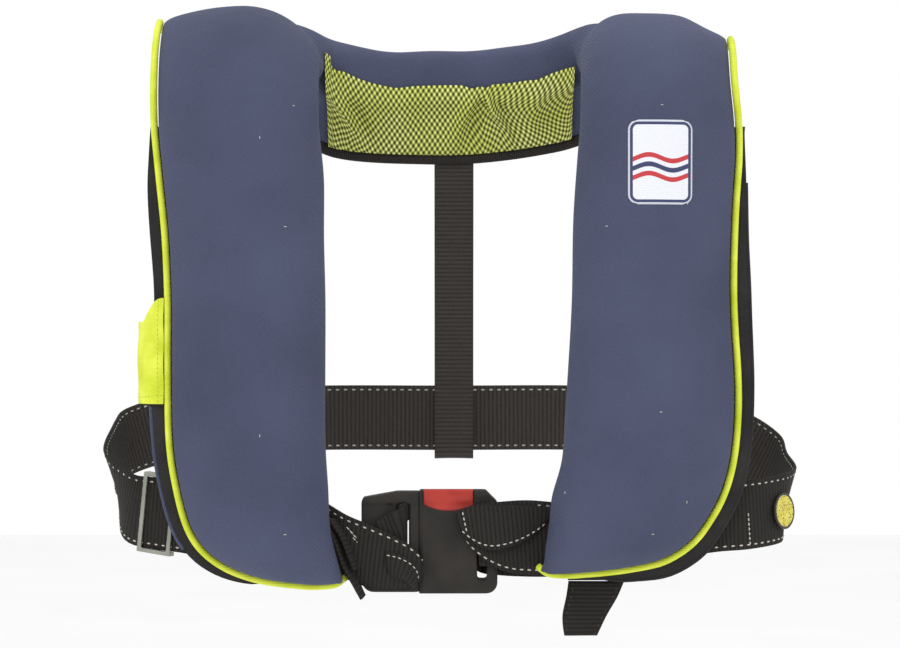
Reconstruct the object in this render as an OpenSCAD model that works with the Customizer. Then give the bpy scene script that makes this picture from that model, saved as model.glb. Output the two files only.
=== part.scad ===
// Inflatable life jacket in its worn shape: +X to the wearer's left, +Y to the wearer's back, +Z up.
// The origin is where the collar rests on the neck. All sizes are in millimetres.

/* [Lobes and collar] */
// Thickness of the packed lobes and collar
thick = 46; // [42:1:50]
// Wall of the outer cover, with its lining
wall = 1.6; // [1.2:0.1:2]
// Height of the top of the shoulders
top_z = 48; // [46:1:50]
// Half width of the collar at the shoulders
collar_half = 214; // [212:1:218]
// Half width of the neckline
neck_half = 94; // [92:1:96]
// How far behind the shoulder line the neckline runs
neck_back = 70; // [66:1:74]
// Length of the collar from the shoulder line to its lower seam, along its middle
collar_len = 153; // [150:1:156]
// How far the collar sinks beside the neck, below the shoulders
collar_dip = 8.5; // [7:0.5:9]
// Radius of the piping
piping_r = 2.2; // [1.8:0.1:2.4]

/* [Webbing] */
// Width of the waist belt
belt_w = 50; // [48:1:51]
// Thickness of the webbing
web_t = 2; // [1.6:0.1:2.2]
// Width of the back strap
back_strap_w = 30; // [25:1:32]
// Width of the crotch strap
crotch_w = 40; // [35:1:42]
// Half width of the belt's side loops
loop_half = 252; // [248:1:256]

/* [Buckle] */
// Height of the buckle
buckle_h = 74; // [72:1:76]
// Thickness of the buckle
buckle_t = 20; // [20:0.5:22]
// Length of the housing, from the parting line to its far end
housing_len = 56; // [55:1:58]
// Length of the tongue's outer half
tongue_len = 41; // [40:1:44]
// Depth to which the blade goes in
blade_len = 26; // [24:1:27]
// Travel of the release button
button_travel = 4; // [3:0.5:4]

/* [Inflator and oral tube] */
// Radius of the gas cylinder
cylinder_r = 16.5; // [15:0.5:17]
// Length of the gas cylinder without its neck
cylinder_len = 118; // [110:1:124]
// Radius of the firing pin
pin_r = 1.5; // [1.2:0.1:1.8]
// Radius of the oral tube
tube_r = 9; // [8:0.5:10]
// Running clearance of pins and plungers in their bores
fit = 0.06; // [0.03:0.01:0.09]

/* [Hidden] */
$fn = 48;

// colours
navy = [0.20, 0.23, 0.36];
lime = [0.80, 0.90, 0.20];
black = [0.10, 0.10, 0.10];
mesh_green = [0.50, 0.56, 0.20];
bladder_yellow = [0.95, 0.80, 0.10];
steel = [0.55, 0.56, 0.52];
red = [0.78, 0.22, 0.18];

gap = 0.4;            // between pieces that lie on each other
pi = 3.14159265;

// frame of the lobes: the side towards the wearer is at panel_y, and h grows away from the wearer
panel_y = -66;
panel_t = 2;
axis_y = -8;                            // shoulder fold
axis_z = top_z - thick / 2;
knuckle_r = thick / 2;
in_r = 44;                              // wearer's side of the shoulder bend, in front
bend_y = panel_y + in_r;
bend_z = top_z - thick - in_r;
back_in_r = 37;                         // wearer's side of the bend behind the shoulder
flat_len = 38;                          // straight stretch on top of the shoulder
back_y = axis_y + flat_len;
back_z = top_z - thick - back_in_r;
back_mid_r = back_in_r + thick / 2;

// lobes: height, seam (outer edge) and inner edge, measured from the middle plane
RIGHT_LOBE = [
    [-370, 100, 76], [-367, 128, 76], [-362, 148, 77], [-354, 165, 79], [-342, 179, 82],
    [-326, 188, 85], [-300, 195, 86], [-266, 200, 88], [-210, 201, 88], [-166, 201, 88],
    [-120, 203, 89], [-80, 207, 89], [-50, 210, 92]
];
LEFT_LOBE = [
    [-362, 84, 64], [-360, 110, 64], [-357, 132, 65], [-352, 153, 67], [-340, 172, 68],
    [-325, 184, 70], [-305, 195, 72], [-280, 202, 79], [-250, 205, 81], [-220, 205, 83],
    [-166, 202, 86], [-110, 203, 87], [-65, 206, 90]
];
shoulder_seam = 211;                    // seam at the top of the bend
seam_lift = 32;                         // how far the seam climbs over the shoulder
bend_steps = 6;

// ---------- helpers ----------
function unit(v) = v / norm(v);
function mix(a, b, t) = a * (1 - t) + b * t;
function last(v) = v[len(v) - 1];

// smooth curve through hand-set points, with steps points on each stretch
function curve_at(p, i, t) = let (
    a = p[max(i - 1, 0)], b = p[i], c = p[i + 1], d = p[min(i + 2, len(p) - 1)])
    0.5 * (2 * b + (c - a) * t + (2 * a - 5 * b + 4 * c - d) * t * t
        + (3 * b - a - 3 * c + d) * t * t * t);
function curve(p, steps) = concat(
    [for (i = [0:len(p) - 2]) for (k = [0:steps - 1]) curve_at(p, i, k / steps)],
    [last(p)]);

// closed solid through rings of equal length, capped at both ends
module loft(rings) {
    n = len(rings[0]);
    ends = (len(rings) - 1) * n;
    polyhedron(
        points = [for (ring = rings) each ring],
        faces = concat(
            [[for (i = [n - 1:-1:0]) i]],
            [for (j = [0:n:ends - n]) for (i = [0:n - 1])
                each [[j + i, j + (i + 1) % n, j + n + (i + 1) % n],
                    [j + i, j + n + (i + 1) % n, j + n + i]]],
            [[for (i = [0:n - 1]) ends + i]]),
        convexity = 8);
}

function tangent(path, i) = unit(path[min(i + 1, len(path) - 1)] - path[max(i - 1, 0)]);

// flat strap along a path; its width lies as near to the direction up as it can
module strap(path, width, t = web_t, up = [0, 0, 1]) {
    loft([for (i = [0:len(path) - 1])
        let (run = tangent(path, i), n = unit(cross(run, up)), w = unit(cross(n, run)))
        [for (c = [[1, 1], [1, -1], [-1, -1], [-1, 1]])
            path[i] + w * width / 2 * c[0] + n * t / 2 * c[1]]]);
}

// round cord along a path
module tube(path, r, sides = 8, up = [0, 1, 0]) {
    loft([for (i = [0:len(path) - 1])
        let (run = tangent(path, i), n = unit(cross(run, up)), w = unit(cross(n, run)))
        [for (k = [0:sides - 1])
            path[i] + r * (cos(360 * k / sides) * w - sin(360 * k / sides) * n)]]);
}

// coil spring standing on [0, 0, 0]
module coil_spring(r, wire, length, turns) {
    steps = 10;
    loft([for (i = [0:turns * steps])
        let (a = 360 * i / steps, z = wire + (length - 2 * wire) * i / (turns * steps))
        [for (k = [0:5])
            let (q = r + wire * cos(60 * k))
            [q * cos(a), q * sin(a), z + wire * sin(60 * k)]]]);
}

// rectangle with round corners, drawn from exact squares and circles
module round_rect(size, r) {
    for (sx = [-1, 1]) for (sy = [-1, 1])
        translate([sx * (size[0] / 2 - r), sy * (size[1] / 2 - r)]) circle(r);
    square([size[0] - 2 * r, size[1]], center = true);
    square([size[0], size[1] - 2 * r], center = true);
}

// solid between two depths, drawn in the plane that faces the front (x, z)
module front_plate(y0, y1) {
    translate([0, y1, 0]) rotate([90, 0, 0]) linear_extrude(y1 - y0) children();
}

module box(low, high) {
    translate(low) cube(high - low);
}

// side -1 is the wearer's right
module mirrored(side) {
    mirror([side < 0 ? 1 : 0, 0, 0]) children();
}

// ---------- lobes ----------
// crown of a section: f runs from the seam to the inner edge
crown_at = 0.62;
function crown(f) = f < crown_at ? pow(sin(90 * f / crown_at), 0.65)
    : sqrt(max(0, 1 - pow((f - crown_at) / (1 - crown_at), 2.4)));
CROWN_STEPS = [0, 0.03, 0.1, 0.2, 0.35, 0.55, 0.72, 0.84, 0.92, 0.97, 1];
edge_t = 3;                             // thickness at the seam

// open section of a cover as [x, h] pairs: out along its face and back along its lining
function face_h(f, t, lift) = (f < crown_at ? mix(lift, t, crown(f)) : t * crown(f)) + edge_t * (1 - f);
function section(outer, inner, t, lift) = concat(
    [for (f = CROWN_STEPS) [mix(outer, inner, f), face_h(f, t, lift)]],
    [for (k = [len(CROWN_STEPS) - 1:-1:0]) let (f = CROWN_STEPS[k])
        [mix(outer - wall, inner + wall, f), max(0, face_h(f, t, lift) - wall)]]);

function up_front(ring, z) = [for (p = ring) [p[0], panel_y - p[1], z]];
function on_bend(ring, a) = [for (p = ring)
    [p[0], bend_y - (in_r + p[1]) * cos(a), bend_z + (in_r + p[1]) * sin(a)]];
function on_top(ring, y) = [for (p = ring) [p[0], y, bend_z + in_r + p[1]]];

// direction out of the seam at a row, as [across, up]
function outward(rows, i) = let (
    before = i == 0 ? [rows[0][2], rows[0][0]] : [rows[i - 1][1], rows[i - 1][0]],
    after = rows[min(i + 1, len(rows) - 1)],
    run = unit([after[1], after[0]] - before))
    [run[1], -run[0]];
// the rows with the seam moved out by d
function grown(rows, d) = [for (i = [0:len(rows) - 1]) let (n = outward(rows, i))
    [rows[i][0] + d * n[1], rows[i][1] + d * n[0], rows[i][2]]];

// the lobe thins out towards its lower seam
function low_taper(rows, z) = let (d = (z - rows[0][0]) / 34)
    d > 1 ? 1 : 0.22 + 0.78 * sqrt(1 - pow(1 - max(0, d), 2));
function lobe_rings(rows) = [for (row = grown(rows, -piping_r - gap))
    up_front(section(row[1], row[2], thick * low_taper(rows, row[0]), 0), row[0])];
function bend_rings(rows) = let (row = last(rows)) concat(
    [for (k = [1:bend_steps]) let (q = k / bend_steps)
        on_bend(section(mix(row[1], shoulder_seam, q) - piping_r - gap, mix(row[2], neck_half, q),
            thick, seam_lift * q), 90 * q)],
    [on_top(section(shoulder_seam - piping_r - gap, neck_half, thick, seam_lift), axis_y)]);

module lobe_cover(rows, side) {
    color(navy) mirrored(side) loft(concat(lobe_rings(rows), bend_rings(rows)));
}

// the folded bladder rolls over the shoulder, and the collar turns about this roll
roll_r = 18;
roll_x = [119, 178];
module shoulder_roll(side) {
    color(bladder_yellow) mirrored(side) translate([roll_x[0], axis_y, axis_z]) rotate([0, 90, 0])
        cylinder(r = roll_r, h = roll_x[1] - roll_x[0]);
}

panel_grow = 7;
binding_r = 1.2;

module back_panel(rows, side) {
    edge = grown(rows, panel_grow);
    low = rows[0][0] - panel_grow;
    color(black) mirrored(side) front_plate(panel_y + gap, panel_y + gap + panel_t)
        polygon(concat([[rows[0][2] + 4, low]], [for (row = edge) [row[1], row[0]]],
            [for (k = [len(rows) - 1:-1:1]) [rows[k][2] + 3, rows[k][0]]]));
}

module panel_binding(rows, side) {
    edge = [for (row = grown(rows, panel_grow + binding_r + gap)) if (row[0] < -100) row];
    color(navy) mirrored(side) tube([for (row = edge) [row[1], panel_y + gap + panel_t / 2, row[0]]],
        binding_r);
}

function seam_path(rows) = concat(
    [[rows[0][2] + 6, panel_y - piping_r - gap, rows[0][0]]],
    [for (row = rows) [row[1], panel_y - piping_r - gap, row[0]]],
    [for (k = [1:bend_steps])
        let (q = k / bend_steps, a = 90 * q, r = in_r + seam_lift * q + piping_r + gap)
        [mix(last(rows)[1], shoulder_seam, q), bend_y - r * cos(a), bend_z + r * sin(a)]]);

module lobe_piping(rows, side) {
    color(lime) mirrored(side) tube(seam_path(rows), piping_r, 8, [0.1, 1, 0.2]);
}

// ---------- what the lobes hold ----------
fold_in = 5;                            // space between the cover and the folded bladder
inflator = [-147, -85.5, -235];           // centre of the inflator body
tube_at = [150, -86, -150];             // middle of the oral tube

// thin piece that lies on a lobe's crown, between two heights and two shares of its width
module crown_skin(rows, z, f, deep, t) {
    outer = lookup(mix(z[0], z[1], 0.5), [for (r = rows) [r[0], r[1]]]) - piping_r - gap;
    inner = lookup(mix(z[0], z[1], 0.5), [for (r = rows) [r[0], r[2]]]);
    steps = 8;
    face = [for (k = [0:steps]) let (g = mix(f[0], f[1], k / steps))
        [mix(outer, inner, g), panel_y - face_h(g, thick, 0) + deep]];
    translate([0, 0, z[0]]) linear_extrude(z[1] - z[0])
        polygon(concat([for (p = face) p - [0, t]], [for (k = [steps:-1:0]) face[k]]));
}

// the bladder, folded to fill the cover but for the room that the fittings take: from x outwards,
// between two heights
function packed_ring(rows, z, x_out) = let (
    seam = lookup(z, [for (r = rows) [r[0], r[1]]]) - piping_r - gap,
    inner = lookup(z, [for (r = rows) [r[0], r[2]]]),
    from = min(seam - fold_in, x_out), to = inner + 2 * fold_in, n = 8)
    concat(
        [for (k = [0:n]) let (x = mix(from, to, k / n), f = (seam - x) / (seam - inner))
            [x, panel_y - max(fold_in + 1, face_h(f, thick * low_taper(rows, z), 0) - fold_in), z]],
        [for (k = [n:-1:0]) [mix(from, to, k / n), panel_y - fold_in, z]]);
module folded_bladder(rows, side, fittings) {
    low = [for (row = rows) if (row[0] > -335 && row[0] < fittings[1] - 3) row[0]];
    beside = concat([fittings[1]],
        [for (row = rows) if (row[0] > fittings[1] + 3 && row[0] < fittings[2] - 3) row[0]],
        [fittings[2]]);
    high = [for (row = rows) if (row[0] > fittings[2] + 3) row[0]];
    color(bladder_yellow) mirrored(side) loft(concat(
        [for (z = low) packed_ring(rows, z, 999)],
        [packed_ring(rows, fittings[1] - 2, 999)],
        [for (z = beside) packed_ring(rows, z, fittings[0])],
        [packed_ring(rows, fittings[2] + 2, 999)],
        [for (z = high) packed_ring(rows, z, 999)]));
}

module reflective_patch(rows, side) {
    color([0.85, 0.86, 0.88]) mirrored(side)
        crown_skin(rows, [-80, -56], [0.35, 0.75], fold_in - gap - 0.6, 0.8);
}

// hook and loop tapes that hold the cover shut along the seam
tape_t = 1.1;
tape_z = [-280, -90];
module closure_tape(layer, side) {
    y = panel_y - 0.5 - layer * (tape_t + 0.3);
    color(layer == 0 ? black : [0.2, 0.2, 0.22]) mirrored(side)
        box([176, y - tape_t, tape_z[0]], [189, y, tape_z[1]]);
}

body_half = [18, 13, 20];
lever_axis = [inflator[0] + 4, inflator[1], inflator[2] - 27];
module inflator_body() {
    color([0.85, 0.75, 0.15]) difference() {
        union() {
            translate(inflator) rotate([90, 0, 0])
                linear_extrude(2 * body_half[1], center = true)
                    round_rect([2 * body_half[0], 2 * body_half[2]], 5);
            translate(inflator + [0, 0, body_half[2] - 2]) cylinder(r = 11, h = 9);
            for (s = [-1, 1]) translate([lever_axis[0], lever_axis[1] + s * 8.5, lever_axis[2]])
                rotate([90, 0, 0]) linear_extrude(4, center = true) {
                    circle(5);
                    translate([-5, 0]) square([10, 9]);
                }
        }
        translate(inflator + [0, 0, -body_half[2] - 1]) cylinder(r = pin_r + fit, h = 50);
        translate(inflator + [0, 0, body_half[2] - 4]) cylinder(r = 7.2, h = 20);
        translate(lever_axis) rotate([90, 0, 0]) cylinder(r = 2 + fit, h = 40, center = true);
    }
}

module lever_pin() {
    color(steel) translate(lever_axis) rotate([90, 0, 0]) cylinder(r = 2, h = 21, center = true);
}

module firing_lever() {
    color(red) translate(lever_axis) rotate([90, 0, 0]) linear_extrude(12, center = true)
        difference() {
            union() {
                circle(4.2);
                translate([-30, -4.2]) square([30, 4.4]);
                translate([-30, -2]) circle(4.2);
            }
            circle(2 + fit);
        }
}

module firing_pin() {
    color(steel) translate(inflator + [0, 0, -body_half[2] + 0.6]) {
        cylinder(r = pin_r, h = 28);
        translate([0, 0, 28]) cylinder(r1 = pin_r, r2 = 0.3, h = 3);
    }
}

module co2_cylinder() {
    base = body_half[2] + 8.5;
    color(steel) translate(inflator) rotate_extrude()
        polygon(concat(
            [[0, body_half[2] + 2], [6.8, body_half[2] + 2], [6.8, base]],
            [for (a = [0:15:90]) [7 + (cylinder_r - 7) * sin(a), base + 14 * (1 - cos(a)) + 1]],
            [for (a = [0:15:90]) [cylinder_r * cos(a), base + cylinder_len - 14 + 14 * sin(a)]]));
}

valve_r = 5;
module oral_tube() {
    color(black) translate(tube_at) difference() {
        union() {
            translate([0, 0, -55]) cylinder(r = tube_r, h = 105);
            translate([0, 0, -58]) cylinder(r = tube_r + 6, h = 3);
        }
        translate([0, 0, -70]) cylinder(r = 3, h = 60);
        translate([0, 0, 38 - spring_len]) cylinder(r = tube_r - 2.5, h = spring_len);
        translate([0, 0, 30]) cylinder(r = valve_r + fit, h = 30);
    }
}

module oral_valve() {
    color(red) translate(tube_at + [0, 0, 38.6]) cylinder(r = valve_r, h = 10);
}

spring_len = 16;
module oral_valve_spring() {
    color(steel) translate(tube_at + [0, 0, 38.2 - spring_len]) coil_spring(3.6, 0.4, spring_len, 5);
}

module oral_cap() {
    color(black) translate(tube_at + [0, 0, 36]) difference() {
        cylinder(r = tube_r + 2, h = 17);
        translate([0, 0, -1]) cylinder(r = tube_r + 0.3, h = 15.5);
    }
}

module whistle() {
    color([0.95, 0.45, 0.10]) translate([158, -84, -262]) difference() {
        union() {
            rotate([90, 0, 0]) linear_extrude(14, center = true) round_rect([16, 44], 5);
            translate([0, 0, 22]) rotate([90, 0, 0]) cylinder(r = 5, h = 5, center = true);
        }
        translate([0, 0, 23]) rotate([90, 0, 0]) cylinder(r = 2.2, h = 20, center = true);
        translate([0, 0, -13]) cube([10, 20, 3], center = true);
        translate([0, 0, -16]) cube([8, 5, 30], center = true);
    }
}

becket = [136, -76, -344];
module lifting_becket() {
    color(black) translate(becket) linear_extrude(14) difference() {
        round_rect([28, 10], 4);
        round_rect([28 - 2 * web_t, 10 - 2 * web_t], 2);
    }
}

// ---------- collar ----------
// share of the collar's sinking across its width: most beside the neck, less in the middle
DIP = [[0, 0.3], [30, 0.35], [50, 0.53], [70, 0.77], [84, 1], [97, 0.94], [106, 0.53], [116, 0.19],
    [130, 0.06], [150, 0]];
function dip(x) = collar_dip * lookup(abs(x), DIP);
// point of the collar: x across, s along it from the shoulder line, h away from the wearer
function collar_pt(x, s, h) = let (
    a = min(90, (s - flat_len) / back_mid_r * 180 / pi),
    drop = max(0, s - flat_len - back_mid_r * pi / 2))
    s < flat_len ? [x, axis_y + s, top_z - thick + h - dip(x)]
    : [x, back_y + (back_in_r + h) * sin(a), back_z + (back_in_r + h) * cos(a) - drop - dip(x)];
// length to the seam, or to a line that lies inside it by d
function seam_s(x, d = 0) = (collar_len - d) * sqrt(max(0, 1 - pow(x / (collar_half - d), 2)));
collar_start = 12;
function neck_s(x) = abs(x) >= neck_half ? collar_start
    : max(collar_start, neck_back * pow(1 - pow(abs(x) / neck_half, 3), 1 / 3));
neck_round = 22;
function seam_h(x) = mix(10, seam_lift, pow(abs(x) / collar_half, 2));
// how full the collar is: 1 in its middle, 0 at its seam
function fullness(x, s) = let (r = pow(x / collar_half, 2) + pow(s / collar_len, 2))
    sqrt(max(0, 1 - pow(min(1, r), 2.2)));
function neck_full(x, s) = abs(x) >= neck_half ? 1
    : sqrt(max(0, 1 - pow(1 - min(1, (s - neck_s(x)) / neck_round), 2)));
function collar_top(x, s) = let (q = neck_full(x, s))
    mix(thick / 2, mix(seam_h(x), thick, fullness(x, s)), q) + edge_t / 2;
function collar_low(x, s) = let (q = neck_full(x, s))
    mix(thick / 2, seam_h(x) * (1 - fullness(x, s)), q) - edge_t / 2;
COLLAR_STEPS = [0, 0.04, 0.1, 0.2, 0.35, 0.55, 0.75, 0.88, 0.96, 1];
COLLAR_X = [0, 20, 40, 60, 74, 84, 91, neck_half + 2, 112, 130, 150, 168, 184, 196, 204];
NECK_TURN = [14, 9, 5, 2, 0.5];         // from the lining round the neck edge
function both_ways(v) = concat([for (k = [len(v) - 1:-1:1]) -v[k]], v);
// open section of the collar: round the neck edge, out along its face to the seam, and back inside;
// past the neckline it starts on the face, so that the shoulder roll can turn in it
function collar_line(x, inset) = let (open = abs(x) >= neck_half, s0 = neck_s(x),
    s1 = seam_s(x, piping_r + gap) - inset) concat(
    [for (d = NECK_TURN) open
        ? collar_pt(x, s0 + 0.2 * (0.5 - 14 * 0.05 + (14 - d) * 0.05), collar_top(x, s0) - inset)
        : collar_pt(x, s0 + d + inset, collar_low(x, s0 + d) + inset)],
    [for (f = COLLAR_STEPS) let (s = mix(s0 + inset + 1, s1, f))
        collar_pt(x, s, max(collar_top(x, s) - inset, collar_low(x, s) + (inset > 0 ? 0.5 : 1.5)))]);
function turned(v) = [for (k = [len(v) - 1:-1:0]) v[k]];

module collar_cover() {
    color(navy) loft([for (x = both_ways(COLLAR_X))
        concat(collar_line(x, 0), turned(collar_line(x, wall)))]);
}

// the part of the folded bladder behind the neck
module collar_bladder() {
    deep = 7;
    color(bladder_yellow) loft([for (x = both_ways([for (x = COLLAR_X) if (x < 90) x]))
        let (s0 = neck_s(x) + deep, s1 = seam_s(x) - 22) concat(
        [for (f = COLLAR_STEPS) let (s = mix(s0, s1, f)) collar_pt(x, s, collar_top(x, s) - deep)],
        [for (f = turned(COLLAR_STEPS)) let (s = mix(s0, s1, f))
            collar_pt(x, s, collar_low(x, s) + deep)])]);
}

module collar_piping() {
    color(lime) tube([for (a = [172:-8:8])
        let (x = collar_half * cos(a)) collar_pt(x, seam_s(x), seam_h(x))], piping_r, 8, [0, 0.3, 1]);
}

mesh_half = 92;
mesh_x = [for (k = [-8:8]) mesh_half * sin(90 * k / 8)];
function mesh_s(x, f) = mix(neck_s(x) + 9, seam_s(x) - 11, f);
module mesh_lining() {
    steps = [0, 0.12, 0.25, 0.4, 0.6, 0.8, 1];
    color(mesh_green) loft([for (x = mesh_x) concat(
        [for (f = steps) let (s = mesh_s(x, f)) collar_pt(x, s, collar_low(x, s) - 1.6)],
        [for (k = [len(steps) - 1:-1:0]) let (s = mesh_s(x, steps[k]))
            collar_pt(x, s, collar_low(x, s) - 2.8)])]);
}

module mesh_binding() {
    color(black) loft([for (x = mesh_x) let (s0 = seam_s(x) - 10, s1 = seam_s(x) - 5)
        [for (c = [[s0, 3.2], [s1, 3.2], [s1, 5], [s0, 5]])
            collar_pt(x, c[0], collar_low(x, c[0]) - c[1])]]);
}

// ---------- belts ----------
belt_front_y = -58;
belt_front_z = -339;

// the back half of the belt, from one side loop round the back to the other
// the left loop hangs lower than the right one
BELT_BACK = [[-loop_half, 14, -290], [-loop_half, 60, -280], [11 - loop_half, 80, -271], [-212, 94, -263],
    [-165, 99, -258], [-100, 100, -255], [0, 100, -255], [100, 100, -255], [165, 99, -259], [212, 93, -271],
    [loop_half - 11, 78, -288], [loop_half, 58, -301], [loop_half, 14, -310]];
module waist_belt_back() {
    color(black) strap(curve(BELT_BACK, 3), belt_w);
}

// the front half: from the side loop forwards, through the slider and behind the lobe
loop_in = 4;                            // the front half runs this far inside the back half
slider_from = [-229, -36, -317];
slider_to = [-190, -56, -322];
BELT_RIGHT = concat([[loop_in - loop_half, 22, -288], [loop_in - loop_half, -6, -299], [-241, -22, -309]],
    [for (f = [0, 0.02, 0.98, 1]) mix(slider_from, slider_to, f)],
    [[-172, belt_front_y, -326], [-150, belt_front_y, -331], [-114, belt_front_y, belt_front_z]]);
BELT_LEFT = [[loop_half - loop_in, 22, -308], [loop_half - loop_in, -8, -313], [240, -30, -317],
    [214, -52, -320], [185, belt_front_y, -322], [140, belt_front_y, -329.5],
    [100, belt_front_y + 0.2, -336], [78, belt_front_y + 0.5, belt_front_z], [62, -48, belt_front_z]];
// round the buckle's bar and back on itself
BELT_TURN = [[44, -36], [36, -34], [27, -35], [23, -39], [22.5, -48], [23, -57], [27, -60.6], [34, -61],
    [46, -60.5], [56, -55]];
module waist_belt_right() {
    color(black) strap(BELT_RIGHT, belt_w);
}

module waist_belt_left() {
    color(black) strap(concat(BELT_LEFT, [for (p = BELT_TURN) [p[0], p[1], belt_front_z]]), belt_w);
}

// hangs from the collar's lower edge and goes round the belt
BACK_STRAP = [[3, 76, -61.7], [3, 82, -110], [3, 91, -170], [3, 96.6, -224], [3, 96.8, -281],
    [3, 97.6, -283.6], [3, 100, -285], [3, 102.4, -283.6], [3, 103.2, -281], [3, 103.2, -224]];
module back_strap() {
    color(black) strap(BACK_STRAP, back_strap_w, web_t, [1, 0, 0]);
}

// a loop of webbing on the back of the lobe: its middle's x and z, and its width and height
module belt_loop(at, w, h) {
    y0 = panel_y + gap + panel_t + 0.2;
    y1 = belt_front_y + 5;
    color(black) translate([at[0], 0, at[1]]) rotate([90, 0, 90])
        linear_extrude(w, center = true) difference() {
            translate([y0, -h / 2]) square([y1 - y0, h]);
            translate([y0 - 1, -h / 2 + web_t]) square([y1 - y0 + 1 - web_t, h - 2 * web_t]);
        }
}

// ---------- crotch strap ----------
crotch_x = 104;
crotch_y = -52;
hinge_z = -368;
module crotch_strap_loop() {
    color(black) translate([crotch_x, 0, 0]) rotate([90, 0, 90])
        linear_extrude(crotch_w, center = true) difference() {
            translate([belt_front_y + 3.2, hinge_z + 33.5]) square([10.4, 62], center = true);
            translate([belt_front_y + 1.2, hinge_z + 33.5]) square([7.2, 58], center = true);
        }
}

module crotch_strap() {
    color(black) difference() {
        front_plate(crotch_y - 1, crotch_y + 1)
            polygon([[84.5, hinge_z + 1], [125.5, hinge_z + 1], [112, -392], [105.5, -407], [82, -407],
                [80.5, -392]]);
        translate([0, crotch_y, hinge_z + 1]) rotate([0, 90, 0]) cylinder(r = 0.4, h = 200);
    }
}

// ---------- buckle ----------
by0 = -58;                              // front face
by1 = by0 + buckle_t;
bz = belt_front_z;                              // middle height
part_x = -22;                           // parting line between the halves
top_of = bz + buckle_h / 2;
socket_y = [-49.5, -43.3];                // space for the blade
socket_h = 56;
chamber_x = [-20, 17.6];
chamber_y = [-55.4, socket_y[0] + 1];
slot_x = [19.5, 26.5];                  // webbing slot in the housing

module housing_outline() {
    difference() {
        translate([part_x + housing_len / 2, bz]) round_rect([housing_len, buckle_h], 8);
        translate([part_x + housing_len, top_of]) rotate(45) square(12, center = true);
    }
    translate([part_x, bz - buckle_h / 2]) square([10, buckle_h]);
}

module housing_hollow() {
    box([chamber_x[0], chamber_y[0], bz - buckle_h / 2 + 4], [chamber_x[1], chamber_y[1], top_of - 10]);
    box([part_x - 1, socket_y[0], bz - socket_h / 2],
        [part_x + blade_len + 2, socket_y[1], bz + socket_h / 2]);
    box([slot_x[0], by0 - 1, bz - 27], [slot_x[1], by1 + 1, bz + 27]);
}

module buckle_front_shell() {
    color([0.16, 0.15, 0.14]) difference() {
        front_plate(by0, -48) housing_outline();
        housing_hollow();
        // the button's shaft, and the window that shows its face
        box([-19.8, -55.4, top_of - button_h - button_travel - 2], [17.4, -47, top_of + 1]);
        front_plate(by0 - 1, -55) intersection() {
            translate([-1.2, top_of + 22.5]) circle(37);
            translate([-19.4, top_of - 20]) square([36.4, 30]);
        }
    }
}

module buckle_rear_shell() {
    color([0.16, 0.15, 0.14]) difference() {
        front_plate(-48 + 0.05, by1) housing_outline();
        housing_hollow();
    }
}

button_y = [-55.1, -50];
button_h = 18;
module release_button() {
    color(red) box([-19.3, button_y[0], top_of - button_h], [16.9, button_y[1], top_of + 0.5]);
}

latch_z = [bz - 22, top_of - button_h - 0.3];
module latch_plate() {
    color(steel) box([-14, -55, latch_z[0]], [12, -50.2, latch_z[1]]);
}

module latch_spring() {
    floor_z = bz - buckle_h / 2 + 4.2;
    color(steel) translate([-1, -52.6, floor_z])
        coil_spring(1.3, 0.3, latch_z[0] - floor_z - 0.2, 6);
}

tongue_slot_x = [-37, -29.5];
module buckle_tongue() {
    color([0.16, 0.15, 0.14]) {
        difference() {
            front_plate(by0 + 0.5, by1 - 0.5)
                intersection() {
                    union() {
                        translate([part_x - gap - tongue_len / 2 - 0.1, bz])
                            round_rect([tongue_len, buckle_h - 2], 9);
                        translate([part_x - gap - 12, bz - buckle_h / 2 + 1]) square([12, buckle_h - 2]);
                    }
                    translate([part_x - gap, bz]) polygon([[1, -50], [1, 40], [-10, 37], [-60, 28],
                        [-60, -50]]);
                }
            box([tongue_slot_x[0], by0 - 1, bz - 27], [tongue_slot_x[1], by1 + 1, bz + 27]);
        }
        box([part_x - gap - 1, socket_y[0] + 0.4, bz - socket_h / 2 + 1],
            [part_x + blade_len, socket_y[1] - 0.4, bz + socket_h / 2 - 1]);
    }
}

TONGUE_TURN = [[-86, -54], [-76, -58], [-68, -60.4], [-60, -61], [-42, -61], [-36, -60], [-33.5, -56],
    [-33.2, -48], [-33.5, -39], [-37, -35.6], [-44, -35], [-62, -35.5]];
module tongue_webbing() {
    color(black) strap([for (p = TONGUE_TURN) [p[0], p[1], belt_front_z]], belt_w);
}

// ---------- trim that moves ----------
flap_top = -165;
flap_low = -240;
flap_hinge = [-206.6, -68.6];
module access_flap() {
    path = [[0, 0], [-9, 3], [-15, 12], [-17.5, 24], [-16, 34]];
    color(lime) strap([for (p = curve(path, 3)) [flap_hinge[0] + p[0], flap_hinge[1] + p[1],
        (flap_top + flap_low) / 2]], flap_top - flap_low, 1.4);
    // the cord in its hem, about which it turns
    color(lime) translate([flap_hinge[0], flap_hinge[1], flap_low])
        cylinder(r = 1, h = flap_top - flap_low);
}

module strap_slider() {
    run = unit(slider_to - slider_from);
    n = unit(cross(run, [0, 0, 1]));
    w = unit(cross(n, run));
    middle = mix(slider_from, slider_to, 0.5);
    frame_h = belt_w + 8;
    color(steel) multmatrix([[run[0], n[0], w[0], middle[0]], [run[1], n[1], w[1], middle[1]],
        [run[2], n[2], w[2], middle[2]], [0, 0, 0, 1]]) {
        for (s = [-1, 1]) translate([0, 0, s * (frame_h / 2 - 1.5)]) cube([28, 7, 3], center = true);
        for (s = [-1, 1]) translate([s * 12.3, 2.4, 0]) cube([3.4, 2.2, frame_h], center = true);
        translate([0, -2.4, 0]) cube([4, 2.2, frame_h], center = true);
    }
}

module chest_patch() {
    color([0.93, 0.93, 0.95]) crown_skin(LEFT_LOBE, [-99, -40], [0.3, 0.69], -gap, 1);
}

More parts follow.
